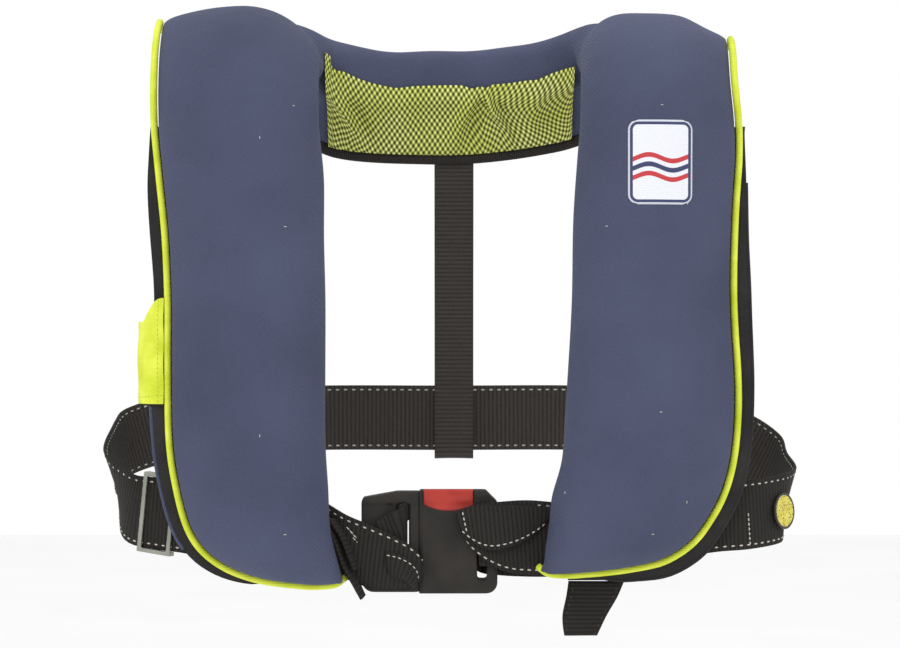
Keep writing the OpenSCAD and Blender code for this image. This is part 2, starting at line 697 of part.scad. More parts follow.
module belt_label() {
    // on the outside of the left loop, where the webbing turns forwards
    color([0.86, 0.84, 0.25]) translate([241.3, -31, -318.5]) rotate([0, 90, -37])
        cylinder(r = 13, h = 1.2);
}

collar_cover();
collar_bladder();
collar_piping();
mesh_lining();
mesh_binding();
back_strap();
waist_belt_back();
lobe_cover(RIGHT_LOBE, -1);  // cover_right
lobe_cover(LEFT_LOBE, 1);  // cover_left
back_panel(RIGHT_LOBE, -1);  // back_panel_right
back_panel(LEFT_LOBE, 1);  // back_panel_left
lobe_piping(RIGHT_LOBE, -1);  // piping_right
lobe_piping(LEFT_LOBE, 1);  // piping_left
panel_binding(RIGHT_LOBE, -1);  // panel_binding_right
panel_binding(LEFT_LOBE, 1);  // panel_binding_left
folded_bladder(RIGHT_LOBE, -1, [129, -305, -84]);  // bladder_right
folded_bladder(LEFT_LOBE, 1, [132, -320, -76]);  // bladder_left
reflective_patch(RIGHT_LOBE, -1);  // reflective_patch_right
reflective_patch(LEFT_LOBE, 1);  // reflective_patch_left
closure_tape(0, -1);  // hook_strip_right
closure_tape(0, 1);  // hook_strip_left
closure_tape(1, -1);  // loop_strip_right
closure_tape(1, 1);  // loop_strip_left
inflator_body();
lever_pin();
co2_cylinder();
oral_tube();
oral_valve_spring();
shoulder_roll(-1);  // shoulder_roll_right
shoulder_roll(1);  // shoulder_roll_left
whistle();
lifting_becket();
waist_belt_right();
waist_belt_left();
belt_loop([-150, -331], 24, belt_w + 13);  // belt_loop_right
belt_loop([140, -329.5], 24, belt_w + 9);  // belt_loop_left
crotch_strap_loop();
buckle_front_shell();
buckle_rear_shell();
latch_spring();
chest_patch();
belt_label();
buckle_tongue();
tongue_webbing();
release_button();
latch_plate();
access_flap();
strap_slider();
firing_lever();
firing_pin();
oral_valve();
oral_cap();
crotch_strap();
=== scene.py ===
import math

import bmesh
import bpy
import numpy as np
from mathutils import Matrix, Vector
from mathutils.bvhtree import BVHTree


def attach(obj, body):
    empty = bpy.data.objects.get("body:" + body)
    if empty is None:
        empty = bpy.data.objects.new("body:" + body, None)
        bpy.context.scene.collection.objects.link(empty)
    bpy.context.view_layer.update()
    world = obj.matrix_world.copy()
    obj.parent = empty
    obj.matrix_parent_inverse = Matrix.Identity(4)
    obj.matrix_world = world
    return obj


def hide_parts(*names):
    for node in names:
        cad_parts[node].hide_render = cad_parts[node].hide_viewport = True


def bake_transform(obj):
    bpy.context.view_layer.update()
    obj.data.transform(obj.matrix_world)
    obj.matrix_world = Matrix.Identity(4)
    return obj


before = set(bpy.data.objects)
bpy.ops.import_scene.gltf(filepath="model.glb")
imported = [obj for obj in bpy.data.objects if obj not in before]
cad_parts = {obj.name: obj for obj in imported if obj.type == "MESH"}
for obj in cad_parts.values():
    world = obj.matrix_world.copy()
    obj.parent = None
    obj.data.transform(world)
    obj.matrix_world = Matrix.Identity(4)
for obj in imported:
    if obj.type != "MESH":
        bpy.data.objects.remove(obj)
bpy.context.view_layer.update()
MM = 0.001

# ---------------------------------------------------------------- camera, light, floor
cam = bpy.data.objects.new("camera", bpy.data.cameras.new("camera"))
bpy.context.scene.collection.objects.link(cam)
cam.location = (0, -2.205, -0.183)
cam.rotation_euler = (math.radians(90), 0, 0)
cam.data.lens = 120
cam.data.sensor_width = 36
bpy.context.scene.camera = cam
bpy.context.scene.view_settings.view_transform = "Standard"


def area_light(name, at, target, size, power):
    lamp = bpy.data.lights.new(name, "AREA")
    lamp.shape, lamp.size, lamp.energy = "DISK", size, power
    o = bpy.data.objects.new(name, lamp)
    bpy.context.scene.collection.objects.link(o)
    o.location = at
    d = np.array(target, float) - np.array(at, float)
    o.rotation_euler = (math.atan2(math.hypot(d[0], d[1]), -d[2]), 0, math.atan2(d[0], -d[1]) + math.pi)


area_light("key", (-1.1, -1.9, 1.5), (0, 0, -0.15), 1.4, 15)
area_light("fill", (1.6, -1.7, 0.5), (0, 0, -0.2), 1.8, 5)
area_light("top", (0, 0.5, 1.8), (0, 0, 0), 1.6, 7)

world = bpy.data.worlds.new("studio")
bpy.context.scene.world = world
world.use_nodes = True
sky = world.node_tree.nodes["Background"].inputs
sky["Color"].default_value, sky["Strength"].default_value = (1, 1, 1, 1), 1.0


# ---------------------------------------------------------------- materials
class Mat:
    """A Principled material with a few short ways to add nodes."""

    def __init__(self, name, color, rough=0.8, **sockets):
        self.m = bpy.data.materials.new(name)
        self.m.use_nodes = True
        self.t = self.m.node_tree
        self.p = self.t.nodes["Principled BSDF"]
        self.p.inputs["Base Color"].default_value = (*color, 1)
        self.p.inputs["Roughness"].default_value = rough
        for k, v in sockets.items():
            self.p.inputs[k.replace("_", " ")].default_value = v
        self.m.diffuse_color = (*color, 1)

    def feed(self, sock, v):
        if isinstance(v, bpy.types.NodeSocket):
            self.t.links.new(v, sock)
        else:
            sock.default_value = v

    def node(self, kind, inputs=None, **props):
        n = self.t.nodes.new("ShaderNode" + kind)
        for k, v in props.items():
            setattr(n, k, v)
        for k, v in (inputs or {}).items():
            self.feed(n.inputs[k], v)
        return n

    def coords(self, scale=(1, 1, 1), turn=(0, 0, 0), kind="Object"):
        tc = self.node("TexCoord")
        return self.node("Mapping", {"Vector": tc.outputs[kind], "Scale": scale, "Rotation": turn}).outputs[0]

    def math(self, op, a, b=0.0):
        return self.node("Math", {0: a, 1: b}, operation=op).outputs[0]

    def times(self, a, b):
        return self.math("MULTIPLY", a, b)

    def vector(self, op, a, b=None, out=0):
        return self.node("VectorMath", {0: a} if b is None else {0: a, 1: b}, operation=op).outputs[out]

    def axis(self, vec, name):
        return self.node("SeparateXYZ", {"Vector": vec}).outputs[name]

    def span(self, value, low, high, to=(0.0, 1.0)):
        return self.node("MapRange", {"Value": value, "From Min": low, "From Max": high,
                                      "To Min": to[0], "To Max": to[1]}).outputs[0]

    def noise(self, vec, scale, detail=2.0):
        return self.node("TexNoise", {"Vector": vec, "Scale": scale, "Detail": detail,
                                      "Roughness": 0.5}).outputs[0]

    def wave(self, vec, scale, direction="X"):
        return self.node("TexWave", {"Vector": vec, "Scale": scale, "Distortion": 0.0, "Detail": 0.0},
                         wave_type="BANDS", bands_direction=direction, wave_profile="SIN").outputs["Fac"]

    def ramp(self, fac, low, high, at=(0.0, 1.0)):
        r = self.node("ValToRGB", {"Fac": fac})
        r.color_ramp.elements[0].position, r.color_ramp.elements[1].position = at
        r.color_ramp.elements[0].color, r.color_ramp.elements[1].color = (*low, 1), (*high, 1)
        return r.outputs[0]

    def mix(self, fac, a, b):
        a, b = ((*v, 1) if isinstance(v, tuple) else v for v in (a, b))
        return self.node("Mix", {0: fac, 6: a, 7: b}, data_type="RGBA", blend_type="MIX").outputs[2]

    def color(self, sock):
        self.t.links.new(sock, self.p.inputs["Base Color"])

    def rough(self, sock, low, high):
        self.t.links.new(self.span(sock, 0.0, 1.0, (low, high)), self.p.inputs["Roughness"])

    def bump(self, *layers):
        """layers: (height socket, distance in metres)"""
        last = None
        for h, d in layers:
            n = self.node("Bump", {"Height": h, "Distance": d, "Strength": 1.0})
            if last is not None:
                self.t.links.new(last, n.inputs["Normal"])
            last = n.outputs[0]
        self.t.links.new(last, self.p.inputs["Normal"])


def srgb(r, g, b):
    return tuple((c / 255 / 12.92) if c <= 10 else ((c / 255 + 0.055) / 1.055) ** 2.4 for c in (r, g, b))


def navy_material():
    m = Mat("navy_fabric", srgb(76, 82, 110), 0.85, Sheen_Weight=0.02, Specular_IOR_Level=0.15)
    o = m.coords()
    d = m.coords(turn=(0.0, 0.7, 0.0))
    cloud = m.noise(o, 9, 3)
    fine = m.noise(o, 600, 2)
    col = m.ramp(cloud, srgb(63, 68, 90), srgb(80, 85, 110), (0.3, 0.75))
    twill = m.wave(d, 150, "X")
    col = m.mix(m.times(twill, 0.2), col, srgb(50, 54, 76))
    m.color(m.mix(m.times(fine, 0.22), col, srgb(98, 103, 128)))
    m.rough(fine, 0.78, 0.92)
    m.bump((twill, 0.00022), (fine, 0.0002), (m.noise(o, 45, 3), 0.0012))
    return m.m


def lime_material():
    m = Mat("lime_trim", srgb(214, 226, 64), 0.65, Specular_IOR_Level=0.2)
    o = m.coords()
    n = m.noise(o, 60, 3)
    m.color(m.ramp(n, srgb(198, 212, 48), srgb(226, 236, 84), (0.3, 0.7)))
    w = m.wave(o, 190, "Z")
    m.bump((w, 0.00012), (m.noise(o, 900, 2), 0.00012))
    return m.m


WARP_PITCH = 1.6                             # fine threads along the webbing, in millimetres
NET_CELL = (2.05, 3.1)                       # half a diamond of the net, across and down


def webbing_material(name="webbing", tone=1.0, pitch=3.2):
    """Cross ribs along the webbing (V of the UV map, in metres) and fine warp threads along it."""
    m = Mat(name, (0.03, 0.028, 0.026), 0.8, Sheen_Weight=0.02, Specular_IOR_Level=0.15)
    uv = m.coords(kind="UV")

    def stripes(axis, pitch):
        return m.math("ABSOLUTE", m.math("SINE", m.times(m.axis(uv, axis), math.pi / (pitch * MM))))

    rib, warp = m.math("POWER", stripes("Y", pitch), 0.7), stripes("X", WARP_PITCH)
    grain = m.noise(m.coords(), 500, 2)
    low, high = (tuple(c * tone for c in srgb(*v)) for v in ((34, 31, 29), (66, 61, 57)))
    col = m.mix(m.times(grain, 0.3), m.ramp(rib, low, high), (0.09 * tone, 0.085 * tone, 0.08 * tone))
    # painted shade: the webbing is darkened towards the front, by its Y position
    front_shade = m.span(m.axis(m.coords(), "Y"), 0.03, 0.09, (0.6, 0.0))
    m.color(m.mix(front_shade, col, (0.004, 0.004, 0.0035)))
    m.bump((rib, 0.0005), (warp, 0.00015), (grain, 0.0001))
    return m.m


def thread_material(name="thread", color=(205, 203, 192)):
    m = Mat(name, srgb(*color), 0.7)
    n = m.noise(m.coords(), 700, 2)
    m.color(m.ramp(n, srgb(*[max(0, c - 35) for c in color]), srgb(*color), (0.3, 0.7)))
    m.bump((n, 0.0002))
    return m.m


def black_fabric_material():
    m = Mat("black_fabric", (0.02, 0.02, 0.02), 0.88, Specular_IOR_Level=0.12)
    o = m.coords()
    a, b = m.wave(o, 320, "X"), m.wave(o, 320, "Z")
    w = m.math("MAXIMUM", a, b)
    n = m.noise(o, 30, 3)
    m.color(m.mix(m.times(w, 0.4), m.ramp(n, srgb(32, 31, 32), srgb(50, 48, 49), (0.3, 0.7)),
                  srgb(64, 62, 64)))
    m.bump((w, 0.00015), (n, 0.0006))
    return m.m


def mesh_material():
    """Black diamond net over bright lime, in the UV's own metres."""
    m = Mat("mesh", srgb(138, 143, 79), 0.8, Specular_IOR_Level=0.15)
    uv = m.coords(kind="UV")
    a, b = (m.math("COSINE", m.times(m.axis(uv, k), math.pi / (cell * MM)))
            for k, cell in zip("XY", NET_CELL))
    hole = m.math("ADD", 0.5, m.times(0.5, m.times(a, b)))
    n = m.noise(m.coords(), 30, 3)
    bright = m.ramp(n, srgb(226, 234, 110), srgb(248, 252, 168), (0.3, 0.7))
    low = m.mix(m.span(hole, 0.12, 0.5), srgb(58, 62, 20), srgb(150, 156, 78))
    m.color(m.mix(m.span(hole, 0.5, 0.86), low, bright))
    m.bump((hole, 0.0005), (m.noise(m.coords(), 500, 2), 0.0001))
    return m.m


def plastic_material(name, low, high, rough, depth=0.00006, **sockets):
    m = Mat(name, high, rough[0], **sockets)
    o = m.coords()
    n, g = m.noise(o, 40, 3), m.noise(o, 900, 2)
    m.color(m.ramp(n, low, high, (0.3, 0.7)))
    m.rough(n, *rough)
    m.bump((g, depth), (m.noise(o, 140, 2), depth * 1.5))
    return m.m


def metal_material(name, low, high, rough, metallic=1.0):
    m = Mat(name, high, rough[0], Metallic=metallic)
    n, s = m.noise(m.coords(), 35, 4), m.noise(m.coords((1, 1, 0.05)), 900, 2)
    m.color(m.mix(m.times(s, 0.5), m.ramp(n, low, high, (0.3, 0.7)), high))
    m.rough(n, *rough)
    m.bump((s, 0.00005))
    return m.m


def weave_material(name, low, high, pitch, rough, sheen, depth=0.0002):
    m = Mat(name, high, rough, Sheen_Weight=sheen)
    o = m.coords()
    s = math.pi / (pitch * MM) / 20
    w = m.times(m.wave(o, s, "X"), m.wave(o, s, "Z"))
    n = m.noise(o, 25, 3)
    m.color(m.mix(m.times(w, 0.5), m.ramp(n, low, high, (0.3, 0.7)), low))
    m.rough(n, rough - 0.08, rough + 0.08)
    m.bump((w, depth), (n, 0.0008))
    return m.m


NAVY, LIME, BLACK = navy_material(), lime_material(), black_fabric_material()
WEB, THREAD, NET = webbing_material(), thread_material(), mesh_material()
PLASTIC = plastic_material("buckle_plastic", srgb(36, 34, 31), srgb(50, 46, 43), (0.45, 0.6),
                           depth=0.00009, Specular_IOR_Level=0.2)
BUTTON = plastic_material("button_plastic", srgb(160, 46, 38), srgb(192, 62, 50), (0.4, 0.55),
                          Specular_IOR_Level=0.3)
STEEL = metal_material("steel", srgb(120, 122, 112), srgb(160, 162, 150), (0.4, 0.6), metallic=0.8)
SPRING = metal_material("spring_steel", srgb(170, 170, 172), srgb(205, 205, 206), (0.2, 0.35))
ZINC = metal_material("cylinder_paint", srgb(128, 134, 134), srgb(158, 164, 164), (0.35, 0.5), metallic=0.6)
FITTING = plastic_material("fitting_plastic", srgb(30, 30, 31), srgb(44, 44, 45), (0.4, 0.6))
INFLATOR = plastic_material("inflator_plastic", srgb(206, 174, 40), srgb(226, 196, 60), (0.25, 0.4))
LEVER = plastic_material("lever_plastic", srgb(176, 52, 42), srgb(200, 66, 52), (0.25, 0.4))
WHISTLE = plastic_material("whistle_plastic", srgb(222, 108, 38), srgb(240, 128, 52), (0.25, 0.4))
BLADDER = weave_material("bladder", srgb(222, 190, 36), srgb(240, 210, 60), 1.2, 0.5, 0.05)
SILVER = weave_material("reflective", srgb(176, 180, 184), srgb(214, 218, 222), 0.9, 0.35, 0.0)
HOOK = weave_material("hook_tape", srgb(26, 26, 27), srgb(52, 52, 54), 1.5, 0.9, 0.3, 0.0006)


# ---------------------------------------------------------------- shapes
def mix(a, b, t):
    return a * (1 - t) + b * t


def smooth(t):
    t = np.clip(t, 0, 1)
    return t * t * (3 - 2 * t)


def curve(points, steps=8):
    """Smooth line through given points."""
    p = np.array(points, float)
    p = np.vstack([2 * p[0] - p[1], p, 2 * p[-1] - p[-2]])
    out = []
    for i in range(1, len(p) - 2):
        a, b, c, d = p[i - 1:i + 3]
        for t in np.linspace(0, 1, steps, endpoint=False):
            out.append(0.5 * (2 * b + (c - a) * t + (2 * a - 5 * b + 4 * c - d) * t * t
                              + (3 * b - a - 3 * c + d) * t ** 3))
    return np.array(out + [p[-2]])


def lengths(p):
    return np.concatenate([[0], np.cumsum(np.linalg.norm(np.diff(p, axis=0), axis=1))])


def sample(p, t, s=None):
    """Columns of p read at t; s is where each of p's rows lies, by default its length along the line."""
    s = lengths(p) if s is None else s
    return np.stack([np.interp(t, s, column) for column in p.T], 1)


def evenly(p, step):
    total = lengths(p)[-1]
    return sample(p, np.linspace(0, total, max(2, int(round(total / step)) + 1)))


def unit(v):
    return v / np.maximum(np.linalg.norm(v, axis=-1, keepdims=True), 1e-12)


def tangents(p):
    return unit(np.gradient(p, axis=0))


class Shape:
    """Collects faces in millimetres, then makes one mesh object in metres."""

    def __init__(self):
        self.v, self.f, self.m, self.uv = [], [], [], []
        self.n = 0

    def add(self, verts, faces, mat=0, uv=None):
        verts = np.asarray(verts, float).reshape(-1, 3)
        self.v.append(verts)
        self.uv.append(np.zeros((len(verts), 2)) if uv is None else np.asarray(uv, float).reshape(-1, 2))
        self.f += [tuple(int(i) + self.n for i in f) for f in faces]
        self.m += [mat] * len(faces)
        self.n += len(verts)
        return self

    def rings(self, rings, mat=0, uv=None, loop=True, cap=True):
        """Faces between rows of points; loop joins each row's ends, cap closes the first and last row."""
        r, n = rings.shape[:2]
        faces = []
        for j in range(r - 1):
            for i in range(n if loop else n - 1):
                k = (i + 1) % n
                faces.append((j * n + i, (j + 1) * n + i, (j + 1) * n + k, j * n + k))
        if loop and cap:
            faces += [tuple(range(n)), tuple(range((r - 1) * n, r * n))[::-1]]
        return self.add(rings, faces, mat, uv)

    def slab(self, front, back, uv):
        """A thin sheet between two grids of points."""
        return self.rings(np.concatenate([front, back[:, ::-1]], 1), 0, np.concatenate([uv, uv[:, ::-1]], 1))

    def object(self, name, mats, sharp=None):
        me = bpy.data.meshes.new(name)
        v = np.vstack(self.v) * MM
        me.from_pydata(v.tolist(), [], self.f)
        me.polygons.foreach_set("material_index", self.m)
        layer = me.uv_layers.new(name="UVMap")
        uv = np.vstack(self.uv) * MM
        idx = np.zeros(len(me.loops), int)
        me.loops.foreach_get("vertex_index", idx)
        layer.data.foreach_set("uv", uv[idx].ravel())
        me.polygons.foreach_set("use_smooth", [True] * len(me.polygons))
        me.update()
        o = bpy.data.objects.new(name, me)
        bpy.context.scene.collection.objects.link(o)
        for m in mats:
            me.materials.append(m)
        clean(o, sharp)
        return o


def clean(o, sharp=None):
    bm = bmesh.new()
    bm.from_mesh(o.data)
    bmesh.ops.recalc_face_normals(bm, faces=bm.faces)
    if sharp:
        for e in bm.edges:
            if len(e.link_faces) == 2 and e.calc_face_angle(0) > math.radians(sharp):
                e.smooth = False
    bm.to_mesh(o.data)
    bm.free()


def apply(o, mod):
    bpy.context.view_layer.objects.active = o
    for x in bpy.context.selected_objects:
        x.select_set(False)
    o.select_set(True)
    bpy.ops.object.modifier_apply(modifier=mod.name)


def put(o, points):
    o.data.vertices.foreach_set("co", (points * MM).ravel())
    o.data.update()


def place(o, slot, body, *nodes):
    """A finished piece: the CAD nodes it stands for and the body that carries it; its material slot (slot) is not
    used.
    """
    if nodes:
        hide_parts(*nodes)
    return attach(o, body)


def frames(path, up):
    """Run, normal and width directions along a path; up is what the width keeps near to."""
    run = tangents(path)
    up = np.broadcast_to(np.array(up, float), path.shape)
    n = unit(np.cross(run, up))
    return run, n, unit(np.cross(n, run))


def webbing(shape, path, width, t=2.0, up=(0, 0, 1), steps=6, cup=0.0):
    """Webbing along a path: rounded edges, ribs by its UV. Returns what stitches need."""
    _, n, w = frames(path, up)
    width = np.broadcast_to(np.array(width, float), (len(path),))
    s = lengths(path)
    a = np.linspace(-1, 1, steps + 1)
    sec = [(x, 0.5) for x in a * 0.965] + [(0.99, 0.3), (0.99, -0.3)] + [(x, -0.5) for x in -a * 0.965] \
        + [(-0.99, -0.3), (-0.99, 0.3)]
    rings, uv = [], []
    for x, h in sec:
        off = x * width / 2
        rings.append(path + w * off[:, None] + n * (h * t + cup * x * x))
        uv.append(np.stack([off, s], 1))
    shape.rings(np.stack(rings, 1), 0, np.stack(uv, 1))
    return path, n, w, width


def pills(shape, line, normal, mat=1, pitch=6.2, length=3.0, width=1.3, height=0.7, lift=0.0):
    """A row of stitches along a line of points with normals."""
    s = lengths(line)
    at = np.arange(pitch * 0.5, s[-1] - pitch * 0.3, pitch)
    if not len(at):
        return
    pos, nrm, tan = (sample(a, at, s) for a in (line, normal, tangents(line)))
    nrm, tan = unit(nrm), unit(tan)
    side = unit(np.cross(nrm, tan))
    tan = np.cross(side, nrm)
    ball = [(-1, 0, 0)] + [(c, math.cos(a) * math.sqrt(1 - c * c), math.sin(a) * math.sqrt(1 - c * c))
                           for c in (-0.55, 0.55) for a in np.arange(6) * math.pi / 3] + [(1, 0, 0)]
    faces = [(0, 1 + (k + 1) % 6, 1 + k) for k in range(6)] \
        + [(1 + k, 1 + (k + 1) % 6, 7 + (k + 1) % 6, 7 + k) for k in range(6)] \
        + [(13, 7 + k, 7 + (k + 1) % 6) for k in range(6)]
    for p, n, t, b in zip(pos, nrm, tan, side):
        q = [p + n * lift + t * x * length / 2 + b * y * width / 2 + n * z * height / 2 for x, y, z in ball]
        shape.add(q, faces, mat)


def edge_stitches(shape, strip, inset, t=2.0, cup=0.0, **kw):
    path, n, w, width = strip
    for side in (1, -1):
        for face in (1, -1):
            line = path + w * ((width / 2 - inset) * side)[:, None] + n * (t / 2 * face + cup * 0.75)
            pills(shape, line, n * face, **kw)


def cord_tube(shape, path, r, sides, up):
    _, n, w = frames(path, up)
    a = np.arange(sides) * 2 * math.pi / sides
    turn = np.cos(a)[None, :, None] * w[:, None] + np.sin(a)[None, :, None] * n[:, None]
    rings = path[:, None] + r * turn
    shape.rings(rings, 0, np.stack(np.broadcast_arrays((a * r)[None, :], lengths(path)[:, None]), -1))


# ---------------------------------------------------------------- the cover's form, as in the CAD
THICK, TOP_Z, PANEL_Y, AXIS_Y = 46.0, 48.0, -66.0, -8.0
IN_R, BEND_Y, BEND_Z = 44.0, -22.0, -42.0
BACK_R, FLAT, SEAM_TOP, LIFT = 37.0, 38.0, 211.0, 32.0
COLLAR_HALF, COLLAR_LEN, NECK_HALF, NECK_BACK = 214.0, 153.0, 94.0, 70.0
EDGE, MID = 22.0, 23.0                       # reach of the rounding beside the neck, and its middle height
CROWN = 0.62                                 # share of a lobe's width where it is thickest
RIGHT = curve([[-370, 100, 76], [-367, 128, 76], [-362, 148, 77], [-354, 165, 79], [-342, 179, 82],
               [-326, 188, 85], [-300, 195, 86], [-266, 200, 88], [-210, 201, 88], [-166, 201, 88],
               [-120, 203, 89], [-80, 207, 89], [-50, 210, 92], [-42, 210.6, 92.6]])
LEFT = curve([[-362, 84, 64], [-360, 110, 64], [-357, 132, 65], [-352, 153, 67], [-340, 172, 68],
              [-325, 184, 70], [-305, 195, 72], [-280, 202, 79], [-250, 205, 81], [-220, 205, 83],
              [-166, 202, 86], [-110, 203, 87], [-65, 206, 90], [-42, 208, 92]])


def crown(f):
    f = np.clip(f, 0, 1)
    up = np.sin(math.pi / 2 * np.minimum(f / CROWN, 1)) ** 0.65
    down = np.sqrt(np.maximum(0, 1 - (np.maximum(0, f - CROWN) / (1 - CROWN)) ** 2.4))
    return np.where(f < CROWN, up, down)


def face_h(f, t, lift=0.0):
    return np.where(f < CROWN, mix(lift, t, crown(f)), t * crown(f)) + 3 * (1 - f)


def low_h(f, lift):
    return np.where(f < CROWN, lift * (1 - crown(f)), 0.0)


def sides_at(rows, z):
    return np.interp(z, rows[:, 0], rows[:, 1]), np.interp(z, rows[:, 0], rows[:, 2])


def round_edge(d):
    """0 to 1 along a quarter circle, d from an edge."""
    return np.sqrt(1 - (1 - np.clip(d / EDGE, 0, 1)) ** 2)


def lobe_h(rows, x, z):
    """Height of a lobe's face over its back, at x and z."""
    outer, inner = sides_at(rows, z)
    d = (z - rows[0, 0]) / 34
    taper = np.where(d > 1, 1, 0.1 + 0.9 * np.sqrt(np.maximum(0, 1 - (1 - np.clip(d, 0, 1)) ** 2)))
    return face_h(np.clip((outer - x) / (outer - inner), 0, 1), THICK * taper)


DIP = curve([[-170, 0], [-150, 1], [-130, 3], [-116, 6], [-104, 9.5], [-92, 10.5], [-80, 9.5], [-62, 7],
             [-45, 4.8], [-25, 3], [0, 2.2], [30, 2], [50, 2.3], [70, 3.2], [90, 4.6], [110, 4.6], [130, 3],
             [150, 1], [170, 0]])


def dip(x, s):
    """How far the collar sinks below the shoulders; more on the right, as it lies."""
    return np.interp(x, DIP[:, 0], DIP[:, 1]) * smooth(s / 26)


def settle(co):
    """The left shoulder lies a little lower and rounder at its outer corner."""
    x, y, z = co.T
    k = smooth((z + 75) / 90) * smooth((x - 90) / 50)
    outer = smooth((x - 160) / 45)
    co[:, 2] -= k * (5.0 + 7.0 * outer)
    co[:, 0] -= k * 7.0 * outer
    k = smooth((z + 20) / 60) * smooth((-x - 85) / 25) * smooth((150 + x) / 40) * smooth((40 - y) / 30)
    co[:, 2] -= k * 5.0
    return co


def collar_pt(x, s, h):
    x, s, h = np.broadcast_arrays(x, s, h)
    mid = BACK_R + THICK / 2
    a = np.minimum(math.pi / 2, np.maximum(0, s - FLAT) / mid)
    drop = np.maximum(0, s - FLAT - mid * math.pi / 2)
    y = np.where(s < FLAT, AXIS_Y + s, AXIS_Y + FLAT + (BACK_R + h) * np.sin(a))
    z = np.where(s < FLAT, TOP_Z - THICK + h, TOP_Z - THICK - BACK_R + (BACK_R + h) * np.cos(a) - drop)
    return np.stack([x, y, z - dip(x, s)], -1)


def seam_h(x):
    return mix(10.0, LIFT, np.clip(np.abs(x) / COLLAR_HALF, 0, 1) ** 2)


def full(x, s):
    r = (x / COLLAR_HALF) ** 2 + (s / COLLAR_LEN) ** 2
    return np.sqrt(np.maximum(0, 1 - np.minimum(1, r) ** 2.2))


def neck_line(n):
    c = np.linspace(0, math.pi / 2, 400)
    half = np.stack([NECK_HALF * np.cos(c) ** (2 / 3), NECK_BACK * np.sin(c) ** (2 / 3)], 1)
    line = np.vstack([half, (half * [-1, 1])[::-1][1:]])
    return sample(line, np.linspace(0, lengths(line)[-1], n))


def neck_s(x):
    return NECK_BACK * np.maximum(0, 1 - (np.abs(x) / NECK_HALF) ** 3) ** (1 / 3)


# a section of the cover as shares of its width: its face from the seam to the inner edge, then its back
F = np.concatenate([np.linspace(0, 0.86, 20), [0.9, 0.935, 0.962, 0.982, 0.994, 1.0]])
LOW = np.linspace(1, 0, 11)[1:]
ROUND = np.concatenate([F, LOW])
ROW_STEP = 8.0
SEAM_IN = 2.8                                # the cover's edge lies this far inside the piping


def lobe_sections(rows, side):
    corner = np.array([[rows[0, 2] + 1, rows[0, 0]]])
    outer = evenly(np.vstack([corner, rows[:, [1, 0]]]), 1.0)
    n = np.stack([tangents(outer)[:, 1], -tangents(outer)[:, 0]], 1)
    outer = outer - n * SEAM_IN
    so = lengths(outer)
    at300 = np.interp(-300, outer[:, 1], so)
    out = []
    for s in np.arange(7, so[-1] + 0.1, ROW_STEP):
        xo, zo = np.interp(s, so, outer[:, 0]), np.interp(s, so, outer[:, 1])
        zi = zo if s >= at300 else mix(rows[0, 0] + 0.5, -300, (s / at300) ** 1.15)
        xi = np.interp(zi, rows[:, 0], rows[:, 2])
        x, z = mix(xo, xi, F), mix(zo, zi, F)
        top = np.stack([side * x, PANEL_Y - lobe_h(rows, x, z), z], 1)
        x, z = mix(xo, xi, LOW), mix(zo, zi, LOW)
        out.append(np.vstack([top, np.stack([side * x, np.full_like(x, PANEL_Y), z], 1)]))
    last_o, last_i = rows[-1, 1] - SEAM_IN, rows[-1, 2]
    for q in np.linspace(0, 1, 15)[1:]:
        xo, xi, a = mix(last_o, SEAM_TOP - SEAM_IN, q), mix(last_i, NECK_HALF, q), q * math.pi / 2
        h = IN_R + np.concatenate([face_h(F, THICK, LIFT * q), low_h(LOW, LIFT * q)])
        y, z = BEND_Y - h * math.cos(a), BEND_Z + h * math.sin(a)
        out.append(np.stack([side * mix(xo, xi, ROUND), y, z], 1))
    return out


def collar_sections():
    n = 84
    neck = neck_line(n + 1)
    out = []
    for k in range(1, n):
        th = math.pi * k / n
        reach = COLLAR_HALF - 3 - SEAM_IN * 0.5
        o = np.array([reach * math.cos(th), (COLLAR_LEN - SEAM_IN) * math.sin(th)])
        i = neck[k]
        w = float(smooth(min(k, n - k) / n * 180 / 24))
        f = ROUND
        p = o[None] * (1 - f[:, None]) + i[None] * f[:, None]
        q = round_edge((1 - f) * np.linalg.norm(o - i))
        fu, sh = full(p[:, 0], p[:, 1]), seam_h(p[:, 0])
        mid = MID * w
        top = mix(mid, mix(sh, THICK, fu), q) + 1.5 * w
        low = mix(mid, sh * (1 - fu), q) - 1.5 * w
        top = mix(face_h(f, THICK, LIFT), top, w)
        low = mix(low_h(f, LIFT), low, w)
        h = np.where(np.arange(len(f)) < len(F), top, low)
        out.append(collar_pt(p[:, 0], p[:, 1], h))
    return out


SIM_FRAMES = 20


def make_cover():
    rings = np.array(lobe_sections(RIGHT, -1) + collar_sections()[::-1] + lobe_sections(LEFT, 1)[::-1])
    o = Shape().rings(rings).object("cover", [NAVY])
    # soft waves where the stuffing settles, and pulls along the seam
    co = np.array([v.co for v in o.data.vertices]) / MM
    nrm = np.array([v.normal for v in o.data.vertices])
    row, ring = np.divmod(np.arange(len(co)), rings.shape[1])
    f = np.where(ring < len(F), F[np.minimum(ring, len(F) - 1)], 0)
    inside = np.where(ring < len(F), np.clip(f / 0.2, 0, 1) * np.clip((1 - f) / 0.12, 0, 1), 0)
    along = row * ROW_STEP
    wave = 0.9 * np.sin(along / 31 + 2 * f) * np.sin(along / 77 + 1.3)
    wave += 0.6 * np.sin(along / 19 - 4 * f + co[:, 2] / 60)
    pull = np.exp(-(((f - 0.13) / 0.12) ** 2)) * np.sin(along / 6.2 + 2.2 * np.sin(along / 43)) * 0.5
    put(o, settle(co + nrm * (inside * (wave + pull))[:, None]))
    swell(o, inside, pressure=3.0, cap=5.0)
    mod = o.modifiers.new("smooth", "SUBSURF")
    mod.levels = mod.render_levels = 1
    apply(o, mod)
    return o


